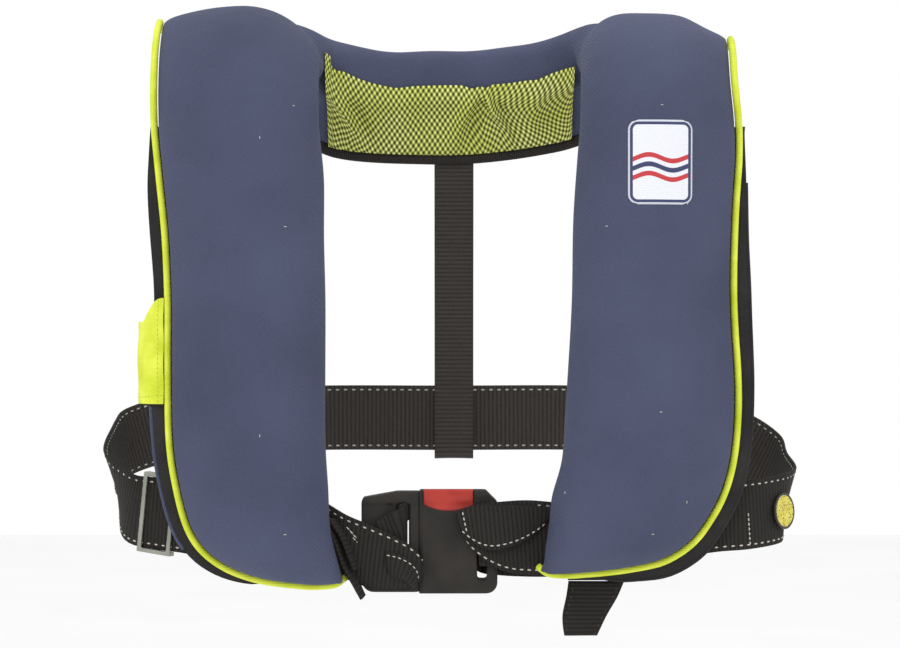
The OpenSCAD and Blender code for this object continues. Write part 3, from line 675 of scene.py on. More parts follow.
def swell(o, free, pressure, cap):
    """Cloth under pressure, moving each point by cap millimetres at most; free is 0 where it is sewn down."""
    start = np.array([v.co for v in o.data.vertices])
    group = o.vertex_groups.new(name="pin")
    for i, w in enumerate(1 - free):
        group.add([i], float(w), "REPLACE")
    mod = o.modifiers.new("cloth", "CLOTH")
    st = mod.settings
    st.quality, st.mass = 5, 0.3
    st.tension_stiffness = st.compression_stiffness = 18
    st.bending_stiffness = 0.6
    st.use_pressure, st.uniform_pressure_force = True, pressure
    st.vertex_group_mass = "pin"
    st.effector_weights.gravity = 0
    scene = bpy.context.scene
    for k in range(1, SIM_FRAMES + 1):
        scene.frame_set(k)
    dep = bpy.context.evaluated_depsgraph_get()
    moved = np.array([v.co for v in o.evaluated_get(dep).data.vertices])
    o.modifiers.remove(mod)
    o.vertex_groups.clear()
    scene.frame_set(1)
    d = moved - start
    length = np.linalg.norm(d, axis=1, keepdims=True)
    d *= np.minimum(1, cap * MM / np.maximum(length, 1e-9))
    d[~np.isfinite(d)] = 0
    o.data.vertices.foreach_set("co", (start + d * (free > 0.01)[:, None]).ravel())
    o.data.update()


def bend_to_collar(o, *nodes):
    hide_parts(*nodes)
    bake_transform(o)


cover = make_cover()
bend_to_collar(cover, "cover_right", "cover_left", "collar_cover")

SKIN = BVHTree.FromPolygons([v.co.copy() for v in cover.data.vertices],
                            [tuple(p.vertices) for p in cover.data.polygons])


def on_front(x, z):
    """Point of the cover straight in front of x, z, and its normal, in millimetres."""
    hit, n, _, _ = SKIN.ray_cast(Vector((x * MM, -0.4, z * MM)), Vector((0, 1, 0)))
    return (np.array(hit) / MM, np.array(n) if n.y < 0 else -np.array(n)) if hit else (None, None)


# ---------------------------------------------------------------- piping and back panels
PIPE_R = 2.6


def seam_points(rows, side):
    corner = np.array([[rows[0, 2] - 1, rows[0, 0] + 1]])
    line = evenly(np.vstack([corner, rows[:, [1, 0]]]), 4.0)
    tuck = 5.0 * np.exp(-(lengths(line) / 4) ** 2)       # its end goes in behind the cover's corner
    up = np.stack([side * line[:, 0], PANEL_Y - PIPE_R + tuck, line[:, 1] + tuck], 1)
    bend = []
    for q in np.linspace(0, 1, 20)[1:]:
        r, a = IN_R + LIFT * q + PIPE_R, q * math.pi / 2
        x = side * mix(rows[-1, 1], SEAM_TOP, q)
        bend.append([x, BEND_Y - r * math.cos(a), BEND_Z + r * math.sin(a)])
    return np.vstack([up, bend])


def make_piping():
    th = np.linspace(math.pi, 0, 91)[2:-2]
    x = COLLAR_HALF * np.cos(th)
    back = collar_pt(x, COLLAR_LEN * np.sin(th), seam_h(x))
    path = np.vstack([seam_points(RIGHT, -1), back, seam_points(LEFT, 1)[::-1]])
    path = settle(evenly(curve(evenly(path, 9.0), 4), 3.2))
    s = Shape()
    cord_tube(s, path, PIPE_R, 12, (0.05, 1, 0.25))
    o = s.object("piping", [LIME])
    bend_to_collar(o, "piping_right", "piping_left", "collar_piping")


make_piping()

# how far the black panel stands out beyond the seam, by the length along it from the lower inner corner
OUT_RIGHT = [[0, 1], [51, 1.5], [60, 4.5], [80, 7.5], [100, 9.5], [127, 11], [154, 11.5], [188, 12],
             [220, 13], [250, 11.5], [288, 10], [334, 11], [365, 9.5], [390, 6], [412, 2.5]]
OUT_LEFT = [[0, 0.5], [30, 2], [50, 7], [67, 9], [88, 11], [110, 11.5], [130, 11], [208, 10.5], [238, 11],
            [292, 12], [335, 9.5], [363, 7.7], [385, 5.5], [410, 2.5]]


def panel_outline(rows, out):
    line = evenly(np.vstack([[[rows[0, 2] + 5, rows[0, 0]]], rows[:, [1, 0]]]), 5.0)
    t, grow = tangents(line), curve(out)
    return line + np.stack([t[:, 1], -t[:, 0]], 1) * np.interp(lengths(line), grow[:, 0], grow[:, 1])[:, None]


def inner_at(rows, z):
    return np.interp(z, rows[:, 0], rows[:, 2]) + 3


def make_back(rows, side, name, out, bound, mat, slot):
    """Black back panel with a bound edge, lightly quilted by its stuffing."""
    edge = panel_outline(rows, out)
    n = 16
    rings, f = [], np.linspace(0, 1, n)
    for (x, z), run in zip(edge, lengths(edge)):
        # the inner end of each row climbs steadily from the lower corner
        zi = min(max(z, rows[0, 0] + 2 + 0.05 * run), -46)
        xs, zs = np.linspace(x, min(inner_at(rows, zi), x - 2), n), np.linspace(z, zi, n)
        puff = 0.5 * np.sin(f * math.pi) * (1 + 0.6 * np.sin(z / 17 + 5 * f))
        low = np.stack([side * xs, PANEL_Y + 2.4 + puff, zs], 1)
        top = np.stack([side * xs[::-1], np.full(n, PANEL_Y + 0.5), zs[::-1]], 1)
        rings.append(np.vstack([low, top]))
    o = Shape().rings(np.array(rings)).object(name + "_cloth", [BLACK], sharp=50)
    place(o, "black_fabric", "front", name)
    path = np.stack([side * edge[:, 0], np.full(len(edge), PANEL_Y + 1.4), edge[:, 1]], 1)
    s = lengths(path)
    tape, node = Shape(), name.replace("back_panel", "panel_binding")
    cord_tube(tape, evenly(path[(s > bound[0]) & (s < bound[1])], 3.0), 1.3, 8, (0, 1, 0))
    place(tape.object(node + "_tape", [mat]), slot, "front", node)


make_back(RIGHT, -1, "back_panel_right", OUT_RIGHT, (112, 225), NAVY, "navy_fabric")
make_back(LEFT, 1, "back_panel_left", OUT_LEFT, (20, 395), BLACK, "black_fabric")


# ---------------------------------------------------------------- mesh lining of the collar
def low_at(x, s):
    return mix(MID, seam_h(x) * (1 - full(x, s)), round_edge(s - neck_s(x))) - 1.5


def seam_s(x):
    return COLLAR_LEN * np.sqrt(np.maximum(0, 1 - (x / COLLAR_HALF) ** 2))


# where each fold starts and ends across the net, how wide it is and how deep
NET_FOLDS = ((-86, -66, 4.5, 8), (17, 1, 5.5, 9), (27, 48, 3.2, 8), (66, 60, 7, 4.5), (-40, -34, 9, 3))


def fold_at(u, v):
    """Depth of the loose net's folds: u runs across in millimetres, v from the neck (0) to the seam (1)."""
    d = np.zeros(np.broadcast(u, v).shape)
    for x0, x1, wide, deep in NET_FOLDS:
        at = x0 + (x1 - x0) * v ** 1.3
        depth = deep * np.exp(-((u - at) / wide) ** 2)
        d = d - depth * np.sin(math.pi * np.clip(v * 0.93 + 0.07, 0, 1)) ** 0.6
        d = d + 0.45 * deep * np.exp(-((u - at - 1.7 * wide) / (1.2 * wide)) ** 2) * np.sin(math.pi * v)
    return d + 0.8 * np.sin(u / 13 + 3 * v) * np.sin(math.pi * v)


def make_mesh_lining():
    half, nu, nv = 92.5, 150, 50
    across = half * np.sin(np.linspace(-1, 1, nu) * math.pi / 2)
    u, v = np.meshgrid(across, np.linspace(0, 1, nv), indexing="ij")
    # it starts under the rounded edge in the middle, and climbs over it beside the neck
    top = mix(6.0, np.where(u < 0, -0.3, 2.4), smooth((np.abs(u) - 35) / 62))
    e = mix(top, seam_s(u) - 3 - neck_s(u), v)
    q = round_edge(np.abs(e))
    s = neck_s(u) + np.abs(e) - 1.7 * (1 - q)
    over = mix(MID, THICK, q) + 1.7 * q
    edge = np.sin(math.pi * v) ** 0.35
    low = low_at(u, neck_s(u) + np.abs(e))
    h = np.where(e < 0, over, np.minimum(low - q * (2.0 + 1.4 * edge) + fold_at(u, v), low - 1.2 * q))
    front = collar_pt(u, s, h - 0.5)
    wide, tall = (np.linalg.norm(np.diff(front, axis=k), axis=2) for k in (0, 1))
    run = np.concatenate([np.zeros((1, nv)), np.cumsum(wide, 0)])
    down = np.concatenate([np.zeros((nu, 1)), np.cumsum(tall, 1)], 1)
    uv = np.stack([mix(u, run - run[nu // 2], 0.5), down], -1)
    o = Shape().slab(front, collar_pt(u, s, h + 0.5), uv).object("mesh_lining_net", [NET])
    place(o, "mesh", "back", "mesh_lining")


def make_mesh_binding():
    x = np.linspace(-106, 106, 100)
    s0 = seam_s(x)
    s = Shape()
    sec = [(-7, -3.2), (-6.5, -4.4), (-1, -5.6), (3, -5.2), (4, -3.6), (3, -2.9), (-1, -3.2)]
    rings = np.stack([collar_pt(x, s0 + d, seam_h(x) + h) for d, h in sec], 1)
    across, along = np.array([[float(d) for d, _ in sec]]), lengths(rings[:, 0])[:, None]
    s.rings(rings, 0, np.stack(np.broadcast_arrays(across, along), -1))
    line = collar_pt(x, s0 - 3.5, seam_h(x) - 5.05)
    up = collar_pt(x, s0 - 3.5, seam_h(x) - 6.05) - line
    pills(s, line, unit(up), pitch=4.0, length=2.4, width=0.6, height=0.5)
    place(s.object("collar_binding", [webbing_material("binding", 0.75, 1.6), DARK_THREAD]),
          "black_fabric", "back", "mesh_binding")


DARK_THREAD = thread_material("dark_thread", (70, 68, 66))
make_mesh_lining()
make_mesh_binding()

# ---------------------------------------------------------------- webbing
SLIDER_FROM, SLIDER_TO = np.array([-229.0, -36, -317]), np.array([-190.0, -56, -322])
SLIDER_MID = mix(SLIDER_FROM, SLIDER_TO, 0.5)
BELT = [[-104, -56, -341], [-128, -58, -336], [-150, -58, -331], [-172, -58, -326], SLIDER_TO, SLIDER_MID,
        SLIDER_FROM, [-241, -21, -309], [-248.5, -4, -299], [-252, 24, -289], [-251, 58, -280],
        [-241, 80, -271], [-212, 94, -263], [-165, 99, -258], [-100, 100, -255], [0, 100, -255], [100, 100, -255],
        [165, 99, -259], [212, 93, -271], [241, 78, -288], [251, 56, -301], [252, 22, -308], [249, -6, -313],
        [240, -30, -317], [214, -51, -320], [185, -57.5, -322], [140, -58, -329.5], [96, -58, -336.5]]
BELT_W = 50


def make_waist_belt():
    path = evenly(curve(BELT), 4.0)
    s = Shape()
    # the slack webbing leans at the sides: its lower edge hangs inwards
    lean = np.exp(-((path[:, 1] - 4) / 26) ** 2)[:, None] * np.where(path[:, :1] < 0, 0.36, 0.3)
    up = np.hstack([np.sign(path[:, :1]) * lean, np.zeros((len(path), 1)), np.ones((len(path), 1))])
    path = path - np.hstack([np.sign(path[:, :1]) * lean * 10, np.zeros((len(path), 2))])
    near = np.exp(-(np.linalg.norm(path - SLIDER_MID, axis=1) / 22) ** 4)
    strip = webbing(s, path, BELT_W + 1.9 * near, up=up, steps=8, cup=0.5)
    edge_stitches(s, strip, inset=3.6, length=3.1, width=1.4, height=0.9, cup=0.5)
    # a row of stitches across, where the left half is sewn back on itself
    _, n, w, _ = strip
    k = int(np.argmin(np.abs(path[:, 0] - 212) + (path[:, 1] > 0) * 999))
    line = path[k] + np.outer(np.linspace(-22, 2, 14), w[k]) - n[k]
    pills(s, line, np.tile(-n[k], (14, 1)), pitch=3.4, length=2.6, height=0.8)
    o = s.object("waist_belt", [WEB, THREAD])
    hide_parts("waist_belt_right", "waist_belt_left", "waist_belt_back")
    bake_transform(o)


make_waist_belt()


def make_back_strap():
    s = Shape()
    side = [[76, -58], [78, -80], [82, -110], [91, -170], [96.2, -224], [96.4, -270], [96.9, -280.6],
            [98.4, -284], [100, -285], [101.6, -284], [103.1, -280.6], [103.6, -270], [103.8, -224]]
    webbing(s, evenly(curve([[3, y, z] for y, z in side]), 2.5), 30, up=(1, 0, 0), cup=0.4)
    # sewn above and below the belt
    for z in (-226.5, -229.5):
        line = np.stack([np.linspace(-9, 15, 20), np.full(20, 95.2), np.full(20, z)], 1)
        pills(s, line, np.tile([0, -1.0, 0], (20, 1)), pitch=2.2, length=1.8, width=0.6, height=0.5)
    place(s.object("back_strap_webbing", [webbing_material("strap_webbing", 1.12), DARK_THREAD]),
          "webbing", "back", "back_strap")


make_back_strap()


def rails(shape, a, b, t=2.0, across=10, bulge=0.0):
    """A band between two edges that curl and fold, given by their own points."""
    a, b = curve(a), curve(b)
    n = max(8, int(max(lengths(a)[-1], lengths(b)[-1]) / 3.0))
    a, b = (sample(p, np.linspace(0, lengths(p)[-1], n)) for p in (a, b))
    g = np.linspace(0, 1, across)
    mid = a[:, None] * (1 - g)[None, :, None] + b[:, None] * g[None, :, None]
    run, wide = unit(np.gradient(mid, axis=0)), unit(np.gradient(mid, axis=1))
    nrm = unit(np.cross(run, wide))
    if nrm[..., 1].sum() > 0:
        nrm = -nrm
    mid = mid + nrm * (bulge * np.sin(math.pi * g) ** 0.8)[None, :, None]
    front, back = mid + nrm * t / 2, mid - nrm * t / 2
    uu = np.linspace(-0.5, 0.5, across) * np.linalg.norm(a - b, axis=1).max()
    vv = lengths((a + b) / 2)
    shape.slab(front, back, np.stack(np.broadcast_arrays(uu[None], vv[:, None]), -1))
    return front, nrm


def seam_row(shape, front, nrm, at, part=(0, 1), **kw):
    """Stitches along a rails() band at a share of its width."""
    n, across = front.shape[:2]
    x = at * (across - 1)
    k = min(int(x), across - 2)
    line = mix(front[:, k], front[:, k + 1], x - k)
    nn = mix(nrm[:, k], nrm[:, k + 1], x - k)
    i0, i1 = int(part[0] * (n - 1)), int(part[1] * (n - 1)) + 1
    pills(shape, line[i0:i1], nn[i0:i1], **kw)


def make_left_ear():
    """The left belt at the buckle: it goes round the housing's bar and comes back over the front, rumpled."""
    s = Shape()
    f, n = rails(s, [[104, -57, -312], [80, -57, -311], [56, -60, -309], [34, -63.5, -310], [16, -66, -312],
                     [7, -66, -319], [9, -64, -327]],
                 [[104, -57, -362], [82, -57, -363], [58, -60, -362.5], [44, -63, -361], [32, -65, -356.5],
                  [21, -65.5, -348.5], [12, -64, -337]], across=12, bulge=1.6)
    seam_row(s, f, n, 0.93, pitch=5.6, length=3.2, width=1.3, height=0.9)
    seam_row(s, f, n, 0.06, part=(0, 0.45), pitch=6.2, length=3.0, width=1.3, height=0.9)
    # the end of the webbing, a rounded tab lying over it
    f, n = rails(s, [[76, -58.5, -314], [60, -62, -313], [40, -67, -312], [22, -69.5, -312],
                     [8, -69.5, -314.5], [4, -68.8, -319.5]],
                 [[72, -59, -322], [63, -63, -331], [52, -67, -338], [42, -69.5, -342], [32, -70.3, -344],
                  [23, -70, -342.5], [14.5, -69.5, -337], [8.5, -69, -330.5]], across=10, bulge=1.2)
    seam_row(s, f, n, 0.9, part=(0.12, 1), pitch=4.6, length=2.9, width=1.2, height=0.9)
    # the row turns up round the tab's rounded end
    k, shares = f.shape[0] - 1, np.linspace(0.86, 0.06, 12)
    turn = np.array([mix(f[k - 3], f[k], 0.3)[int(x * (f.shape[1] - 1))] for x in shares])
    pills(s, turn, np.tile(n[k - 2, 4], (12, 1)), pitch=3.8, length=2.7, width=1.2, height=0.9, lift=0.2)
    place(s.object("belt_end_left", [WEB, THREAD]), "webbing", "front")
    # through the slot and back behind the lobe
    s = Shape()
    path = evenly(curve([[104, -51, -338.5], [84, -49, -339], [62, -44, -339.5], [44, -36, -339.5],
                         [36, -34, -339], [26, -34.4, -338], [22.2, -38, -336], [21.1, -48, -335],
                         [21.6, -57, -335], [25, -60.8, -335], [34, -61.4, -335]]), 2.5)
    webbing(s, path, np.interp(lengths(path), [0, 60, 79, 86, 120], [51, 52, 52, 44.5, 42]), steps=8)
    place(s.object("belt_turn_left", [WEB]), "webbing", "front")


def ride_tongue(o):
    """Bakes the object's transform into its mesh; the piece is not attached to the tongue."""
    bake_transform(o)


def make_tongue_end():
    """The right belt at the tongue: folded over the tongue's front, with its loose end hanging beside it."""
    s = Shape()
    f, n = rails(s, [[-88, -52, -312], [-80, -58, -316.5], [-72, -62, -320.5], [-58, -65, -326],
                     [-42, -66.5, -333],
                     [-28, -66.5, -341], [-21.5, -64, -349], [-22, -60, -352]],
                 [[-88, -52, -355], [-82, -57, -362], [-72, -61, -366], [-58, -64, -371], [-44, -65, -372],
                  [-32, -65.5, -371], [-24, -64, -368], [-23, -60, -366]], across=14, bulge=2.2)
    seam_row(s, f, n, 0.07, pitch=6.2, length=3.0, width=1.4, height=0.9)
    # the folded corner of the webbing
    f, n = rails(s, [[-46, -68.4, -345], [-36, -69.6, -347], [-27, -69, -352], [-23, -66, -359],
                     [-23.5, -63, -367]],
                 [[-44, -67.5, -361], [-38, -68.5, -364], [-33, -68.3, -366], [-29, -67, -369],
                  [-27, -64, -371]], across=8, bulge=1.5)
    seam_row(s, f, n, 0.14, pitch=4.2, length=2.6, width=1.0, height=0.7)
    for x, z in ((-71.0, -331), (-68.5, -334), (-66.5, -338.5), (-64.5, -342)):
        line = evenly(np.array([[x - 3, -65.4, z + 3.5], [x + 3, -66.2, z - 3.0]]), 0.5)
        pills(s, line, np.tile([0, -1.0, 0.1], (len(line), 1)), pitch=3.6, length=3.4, width=1.0, height=0.9)
    o = s.object("belt_end_right", [WEB, THREAD])
    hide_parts("tongue_webbing")
    ride_tongue(o)
    s = Shape()
    path = evenly(curve([[-60, -36, -339], [-46, -34.5, -339], [-38, -35.5, -338.5], [-33, -39, -338],
                         [-31.6, -48, -338], [-31.8, -56, -338.4], [-35, -60.6, -341],
                         [-46, -62.6, -345]]), 2.5)
    webbing(s, path, np.interp(lengths(path), [0, 20, 28, 50, 70], [48, 51, 53, 52, 40]), steps=8)
    # its upper corner curls across the slot
    rails(s, [[-37, -61.6, -312.5], [-33, -60, -311], [-29.7, -54, -311.5]],
          [[-37, -61.6, -326], [-33, -60, -325], [-29.7, -54, -323]], across=6)
    ride_tongue(s.object("belt_turn_right", [WEB]))
    # the loose end, seen on its edge
    s = Shape()
    long = [[-86, -60, -322], [-80, -64, -336], [-74, -66, -354], [-67, -67, -368], [-62, -66, -378]]
    short = [[-84, -61, -322], [-76, -66, -334], [-71, -68, -347], [-67, -69, -358]]
    for path, width, end in ((long, 22, 9), (short, 16, 7)):
        p = evenly(curve(path), 3.0)
        webbing(s, p, np.linspace(width, end, len(p)), 1.8, up=(0.35, 1, 0.1))
    ride_tongue(s.object("belt_tail_right", [WEB]))


make_left_ear()
make_tongue_end()


# ---------------------------------------------------------------- flap, loops and crotch strap
def make_flap():
    path = evenly(curve([[2.6, -1.6], [0, -1.2], [-5, 0.4], [-10, 4], [-14.5, 11], [-17, 20], [-17.5, 28],
                         [-16, 34]]), 2.0)
    s = lengths(path)
    v = np.linspace(0, 1, 26)
    out, uv = [], []
    for p, d in zip(path, s):
        top = -164.5 - 17 * smooth((d - 1) / 20) ** 1.2
        z = mix(top, -240, v)
        belly = 1.1 * np.sin(math.pi * v) * np.sin(math.pi * min(d / s[-1], 1)) + 0.25 * np.sin(z / 5 + d / 6)
        out.append(np.stack([-206.6 + p[0] - belly, -68.6 + p[1] - 0.4 * belly, z], 1))
        uv.append(np.stack([np.full(len(z), d), z], 1))
    front, uv = np.array(out), np.array(uv)
    nrm = unit(np.cross(np.gradient(front, axis=1), np.gradient(front, axis=0)))
    if nrm[..., 0].mean() > 0:
        nrm = -nrm
    sh = Shape().slab(front, front - nrm * 1.3, uv)
    for row, n in ((front[:, -3], nrm[:, -3]), (front[-3], nrm[-3]), (front[2], nrm[2])):
        pills(sh, row, n, pitch=3.4, length=2.3, width=0.6, height=0.4)
    o = sh.object("flap", [LIME, LIME_THREAD], sharp=60)
    place(o, "lime_trim", "flap", "access_flap")


LIME_THREAD = thread_material("lime_thread", (188, 204, 40))
make_flap()


def make_loops():
    """Webbing loops on the backs of the lobes, which hold the belt."""
    for x, z, more, name in ((-150, -331, 3.5, "belt_loop_right"), (140, -329.5, 0, "belt_loop_left")):
        s = Shape()
        half = [[x, -62.2, 27], [x, -60, 28.5], [x, -57, 28], [x, -54.6, 24]]
        path = [[x, y, z + more + h] for x, y, h in half] + [[x, -54, z]] + \
            [[x, y, z - more - h] for x, y, h in half[::-1]]
        strip = webbing(s, evenly(curve(path), 2.0), 24, 1.4, up=(1, 0, 0), steps=5)
        edge_stitches(s, strip, inset=2.5, t=1.4, pitch=3.2, length=2.2, width=0.6, height=0.4)
        place(s.object(name + "_webbing", [WEB, DARK_THREAD]), "webbing", "front", name)
    s = Shape()
    side = [[-61.5, -366], [-61.6, -340], [-61.4, -310], [-60, -306], [-57, -304.6], [-54.4, -306],
            [-53.2, -312], [-52.8, -340], [-52, -365.5]]
    webbing(s, evenly(curve([[104, y, z] for y, z in side]), 2.5), 40, 1.8, up=(1, 0, 0), steps=7)
    place(s.object("crotch_strap_anchor", [WEB]), "webbing", "front", "crotch_strap_loop")
    s = Shape()
    f, n = rails(s, [[85, -52, -367.4], [83.5, -52.4, -378], [80.8, -53, -391], [81, -53, -400],
                     [82, -53, -406.5]],
                 [[125, -52, -367.4], [120, -51.4, -379], [113, -51, -391], [108.6, -51.4, -400],
                  [105.5, -52.4, -406.5]], t=1.9, across=9, bulge=1.0)
    for share in (0.09, 0.91):
        seam_row(s, f, n, share, part=(0.1, 1), pitch=5.8, length=2.6, width=0.8, height=0.6)
    place(s.object("crotch_strap_webbing", [WEB, DARK_THREAD]), "webbing", "crotch_tail", "crotch_strap")


make_loops()


# ---------------------------------------------------------------- patch, label and tacks
PATCH = (22.6, 29.5, 7.0)                    # half its width and height, and the radius of its corners


def patch_material():
    m = Mat("patch", srgb(232, 234, 240), 0.7, Sheen_Weight=0.1)
    uv = m.coords(kind="UV")
    wave = m.math("ADD", m.axis(uv, "Y"), m.times(m.math("SINE", m.times(m.axis(uv, "X"), 190.0)), 0.0022))
    navy, red, col = srgb(44, 52, 96), srgb(196, 44, 48), srgb(232, 234, 240)
    for at, tone in ((0.003, red), (-0.0035, navy), (-0.010, red)):        # three waves, one above the other
        near = m.math("LESS_THAN", m.math("ABSOLUTE", m.math("SUBTRACT", wave, at)), 0.0017)
        col = m.mix(near, col, tone)
    half_w, half_h, r = (v * MM for v in PATCH)
    d = m.vector("SUBTRACT", m.vector("ABSOLUTE", uv), (half_w - r, half_h - r, 0))
    d = m.vector("LENGTH", m.vector("MAXIMUM", d, (0, 0, 0)), out="Value")
    for rim, tone in ((0.0034, navy), (0.0014, srgb(214, 217, 226))):
        col = m.mix(m.math("GREATER_THAN", d, r - rim), col, tone)
    o = m.coords()
    thread = m.wave(o, 260, "Z")
    m.color(m.mix(m.times(thread, 0.12), col, srgb(120, 124, 140)))
    m.bump((thread, 0.00015), (m.noise(o, 600, 2), 0.0001))
    return m.m


def make_patch():
    half_w, half_h, r = PATCH
    top, low, uv = (np.zeros((40, 28, k)) for k in (3, 3, 2))
    for i, v in enumerate(np.linspace(-half_h, half_h, 40)):
        w = half_w - r + math.sqrt(max(0.0, r * r - max(0.0, abs(v) - (half_h - r)) ** 2))
        for k, u in enumerate(np.linspace(-w, w, 28)):
            p, n = on_front(146.8 + u, -70.0 + v)
            edge = min(1.0, (w - abs(u)) / 1.5, (half_h - abs(v)) / 1.5)
            top[i, k], low[i, k] = p + n * (0.5 + 0.7 * math.sqrt(max(0.0, edge))), p + n * 0.05
            uv[i, k] = u, v
    o = Shape().slab(top, low, uv).object("chest_badge", [patch_material()])
    place(o, "patch", "front", "chest_patch")


make_patch()


TACKS_ACROSS = ((-109.6, -30), (-115.2, -115), (-115.2, -330), (148, -30), (109.6, -114.6), (147.3, -244.4),
                (141.8, -330))
TACKS_UPRIGHT = ((-132.7, -53), (-132.7, -261), (166.2, -98.5), (166.2, -308), (81, -301.7))


def make_tacks():
    s = Shape()
    for k, (x, z) in enumerate(TACKS_ACROSS + TACKS_UPRIGHT):
        upright = k >= len(TACKS_ACROSS)
        p, n = on_front(x, z)
        if p is None:
            continue
        d = np.array([0, 0, 1.0]) if upright else np.array([1.0, 0, 0.08])
        d = unit(d - n * (d @ n))
        line = np.array([p - d * 1.5, p - d * 0.5, p + d * 0.5, p + d * 1.5])
        pills(s, line, np.tile(n, (4, 1)), 0, pitch=2.99, length=2.3, width=0.8, height=0.7, lift=0.15)
    place(s.object("tacks", [THREAD]), "patch", "front")


make_tacks()


def label_material():
    m = Mat("label", srgb(206, 192, 62), 0.45, Specular_IOR_Level=0.5)
    uv = m.coords(kind="UV")
    dots = m.node("TexVoronoi", {"Vector": uv, "Scale": 520.0, "Randomness": 0.6}).outputs["Distance"]
    r = m.vector("LENGTH", uv, out="Value")
    base = m.ramp(m.noise(uv, 120, 2), srgb(196, 180, 44), srgb(222, 214, 96), (0.35, 0.65))
    col = m.mix(m.math("LESS_THAN", dots, 0.36), base, srgb(132, 112, 44))
    m.color(m.mix(m.math("GREATER_THAN", r, 0.0114), col, srgb(34, 33, 32)))
    m.bump((m.noise(uv, 700, 2), 0.00008))
    return m.m


def make_label():
    """A round disc on the loop of the belt, with a raised dark rim."""
    n = unit(np.array([0.78, -0.62, 0.06]))
    c = np.array([240.6, -30.6, -318.5]) + n * 1.1
    e1 = unit(np.cross([0, 0, 1.0], n))
    e2 = np.cross(n, e1)
    a = np.arange(48) * 2 * math.pi / 48
    rings, uv = [], []
    for r, h in ((12.6, 0), (13.2, 0.4), (13.2, 1.2), (12.6, 1.7), (11.8, 1.7), (11.4, 1.3), (8, 1.3),
                 (4, 1.3), (0.6, 1.3)):
        rings.append(c + r * (np.cos(a)[:, None] * e1 + np.sin(a)[:, None] * e2) + n * h)
        uv.append(np.stack([r * np.cos(a), r * np.sin(a)], 1))
    s = Shape().rings(np.array(rings), 0, np.array(uv))
    place(s.object("round_label", [label_material()], sharp=60), "label", "front", "belt_label")


make_label()


# ---------------------------------------------------------------- moulded and metal pieces
def moulded(node, name, mat, body, voxel, rounds, shape, slot):
    """A CAD piece with its edges rounded as moulding leaves them. It stands for its node."""
    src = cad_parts[node]
    o = bpy.data.objects.new(name, src.data.copy())
    bpy.context.scene.collection.objects.link(o)
    mod = o.modifiers.new("even", "REMESH")
    mod.mode, mod.voxel_size, mod.use_smooth_shade = "VOXEL", voxel * MM, True
    apply(o, mod)
    mod = o.modifiers.new("soft", "SMOOTH")
    mod.factor, mod.iterations = 0.5, rounds
    apply(o, mod)
    co = np.zeros(len(o.data.vertices) * 3)
    o.data.vertices.foreach_get("co", co)
    co = co.reshape(-1, 3) / MM
    put(o, shape(co) if shape else co)
    o.data.polygons.foreach_set("use_smooth", [True] * len(o.data.polygons))
    o.data.materials.clear()
    o.data.materials.append(mat)
    place(o, slot, body, node)


BX, BZ = 6.0, -339.0                         # middle of the buckle's housing


def housing_form(co):
    """A slightly domed face, a shallow dished field and a raised rim."""
    x, y, z = co.T
    front = smooth((-52 - y) / 5)
    u, v = (x - BX) / 28, (z - BZ) / 37
    dome = 1.1 * (1 - np.clip(u * u, 0, 1)) * (1 - np.clip(v * v, 0, 1) ** 2)
    edge = np.maximum(np.abs(u), np.abs(v))
    rim = 0.5 * np.exp(-((edge - 0.9) / 0.05) ** 2)
    co[:, 1] = y - front * (dome + rim)
    co[:, 0] = x - 0.35 * smooth((-20.9 - x) / 1.2)
    return co


def tongue_form(co):
    x, y, z = co.T
    front = smooth((-52 - y) / 5) * (x < -22.6)
    u, v = (x + 43) / 20, (z - BZ) / 36
    step = 0.9 * smooth((np.abs(v + 0.03) - 0.74) / 0.08)
    ridge = 0.6 * np.exp(-((x + 27.6) / 0.8) ** 2)
    ridge = ridge + 0.6 * np.exp(-((x + 39.2) / 0.7) ** 2) * (np.abs(v) < 0.76)
    dome = 0.8 * (1 - np.clip(u * u, 0, 1))
    dot = 1.0 * np.exp(-(((x + 44) / 1.3) ** 2 + ((z + 310.6) / 1.3) ** 2))
    co[:, 1] = y - front * (step + ridge + dome + dot) + 0.4 * front
    co[:, 0] = x + 0.4 * smooth((x + 24) / 1.5)
    return co


def button_form(co):
    x, y, z = co.T
    front = smooth((-53 - y) / 1.5)
    u = (x + 1.2) / 18
    ribs = 0.22 * np.sin(z / 1.1) * (np.abs(u) < 0.86)
    co[:, 1] = y - front * (1.0 + 1.2 * (1 - np.clip(u * u, 0, 1)) + ribs)
    return co


# node, name, material, body, voxel in millimetres, rounds of smoothing, added form, slot
for row in (("buckle_front_shell", "buckle_housing_front", PLASTIC, "front", 0.8, 5, housing_form,
             "buckle_plastic"),
            ("buckle_rear_shell", "buckle_housing_rear", PLASTIC, "front", 0.9, 5, None, "buckle_plastic"),
            ("buckle_tongue", "buckle_tongue_moulded", PLASTIC, "tongue", 0.8, 5, tongue_form, "buckle_plastic"),
            ("release_button", "buckle_button", BUTTON, "button", 0.5, 4, button_form, "button_plastic"),
            ("strap_slider", "belt_slider", STEEL, "slider", 0.55, 4, None, "steel"),
            ("inflator_body", "inflator_moulding", INFLATOR, "front", 0.6, 3, None, "inflator_plastic"),
            ("firing_lever", "inflator_lever", LEVER, "lever", 0.5, 3, None, "lever_plastic"),
            ("whistle", "whistle_moulding", WHISTLE, "front", 0.5, 3, None, "whistle_plastic")):
    moulded(*row)


# ---------------------------------------------------------------- what the cover holds
def folded(node, rings, body):
    o = Shape().rings(np.array(rings)).object(node + "_folds", [BLADDER])
    place(o, "bladder", body, node)


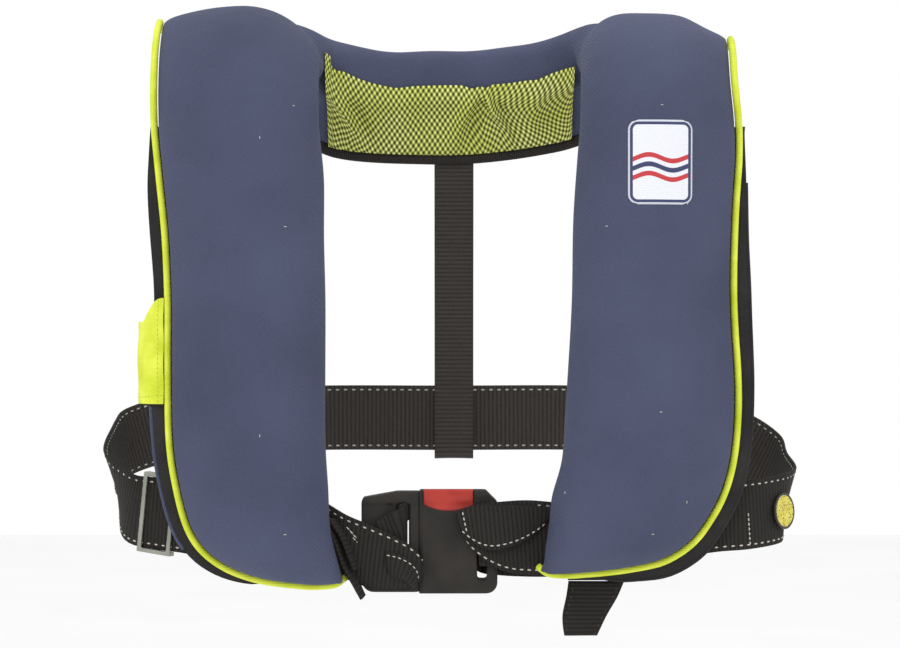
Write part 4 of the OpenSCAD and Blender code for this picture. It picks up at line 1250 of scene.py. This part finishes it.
def pack_lobe(rows, side, name, x_out, z0, z1):
    rings = []
    for z in np.arange(-322, -62, 4.0):
        seam, inner = sides_at(rows, z)
        reach = float(smooth((z - z0 + 8) / 8) * smooth((z1 + 8 - z) / 8))
        xs = np.linspace(mix(seam - 12, min(seam - 12, x_out), reach), inner + 12, 60)
        h = lobe_h(rows, xs, np.full(60, z)) - 8.0
        pleat = 0.9 * np.abs(np.sin(xs / 2.6 + 0.4 * math.sin(z / 25)))
        top = np.stack([side * xs, PANEL_Y - np.maximum(6.5, h - pleat), np.full(60, z)], 1)
        low = np.stack([side * xs[::-1], np.full(60, PANEL_Y - 5.2), np.full(60, z)], 1)
        rings.append(np.vstack([top, low]))
    folded(name, rings, "front")


def pack_roll(side, name):
    rings = []
    for x in np.linspace(120, 177, 24):
        a = np.linspace(0, 2 * math.pi, 72, endpoint=False)
        r = 15.2 + 0.7 * np.abs(np.sin(5 * a)) + 0.3 * math.sin(x / 4)
        z = TOP_Z - THICK / 2 - (5 if side > 0 else 0) + r * np.sin(a)
        rings.append(np.stack([np.full(72, side * x), AXIS_Y + r * np.cos(a), z], 1))
    folded(name, rings, "front")


def pack_collar():
    rings = []
    for x in np.linspace(-72, 72, 50):
        s = np.linspace(neck_s(x) + 20, seam_s(x) - 30, 40)
        fu, sh = full(x, s), seam_h(x)
        q = round_edge(s - neck_s(x))
        top = mix(MID, mix(sh, THICK, fu), q) - 8 - 0.8 * np.abs(np.sin(s / 2.8))
        low = mix(MID, sh * (1 - fu), q) + 8
        top = np.maximum(top, low + 2)
        xx = np.full(40, x)
        rings.append(np.vstack([collar_pt(xx, s, top), collar_pt(xx, s, low)[::-1]]))
    folded("collar_bladder", rings, "back")


pack_lobe(RIGHT, -1, "bladder_right", 129, -305, -84)
pack_lobe(LEFT, 1, "bladder_left", 132, -330, -76)
pack_roll(-1, "shoulder_roll_right")
pack_roll(1, "shoulder_roll_left")
pack_collar()

for names, mat in ((("lever_pin", "firing_pin", "latch_plate"), STEEL), (("co2_cylinder",), ZINC),
                   (("oral_tube", "oral_cap"), FITTING), (("oral_valve_spring", "latch_spring"), SPRING),
                   (("oral_valve",), LEVER), (("reflective_patch_right", "reflective_patch_left"), SILVER),
                   (("hook_strip_right", "hook_strip_left", "loop_strip_right", "loop_strip_left"), HOOK),
                   (("lifting_becket",), WEB)):
    for name in names:
        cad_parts[name].data.materials.clear()
        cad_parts[name].data.materials.append(mat)


# ---------------------------------------------------------------- floor
def make_floor():
    x = np.linspace(-6000, 6000, 25)
    gx, gy = np.meshgrid(x, x, indexing="ij")
    s = Shape().rings(np.stack([gx, gy, np.full_like(gx, -760.0)], -1), loop=False, cap=False)
    s.object("floor", [floor_material()])


def floor_material():
    m = Mat("floor", (0.94, 0.94, 0.94), 0.9, Specular_IOR_Level=0.1)
    n = m.noise(m.coords(), 3, 2)
    m.color(m.ramp(n, (0.93, 0.93, 0.93), (0.95, 0.95, 0.95), (0.3, 0.7)))
    return m.m


make_floor()
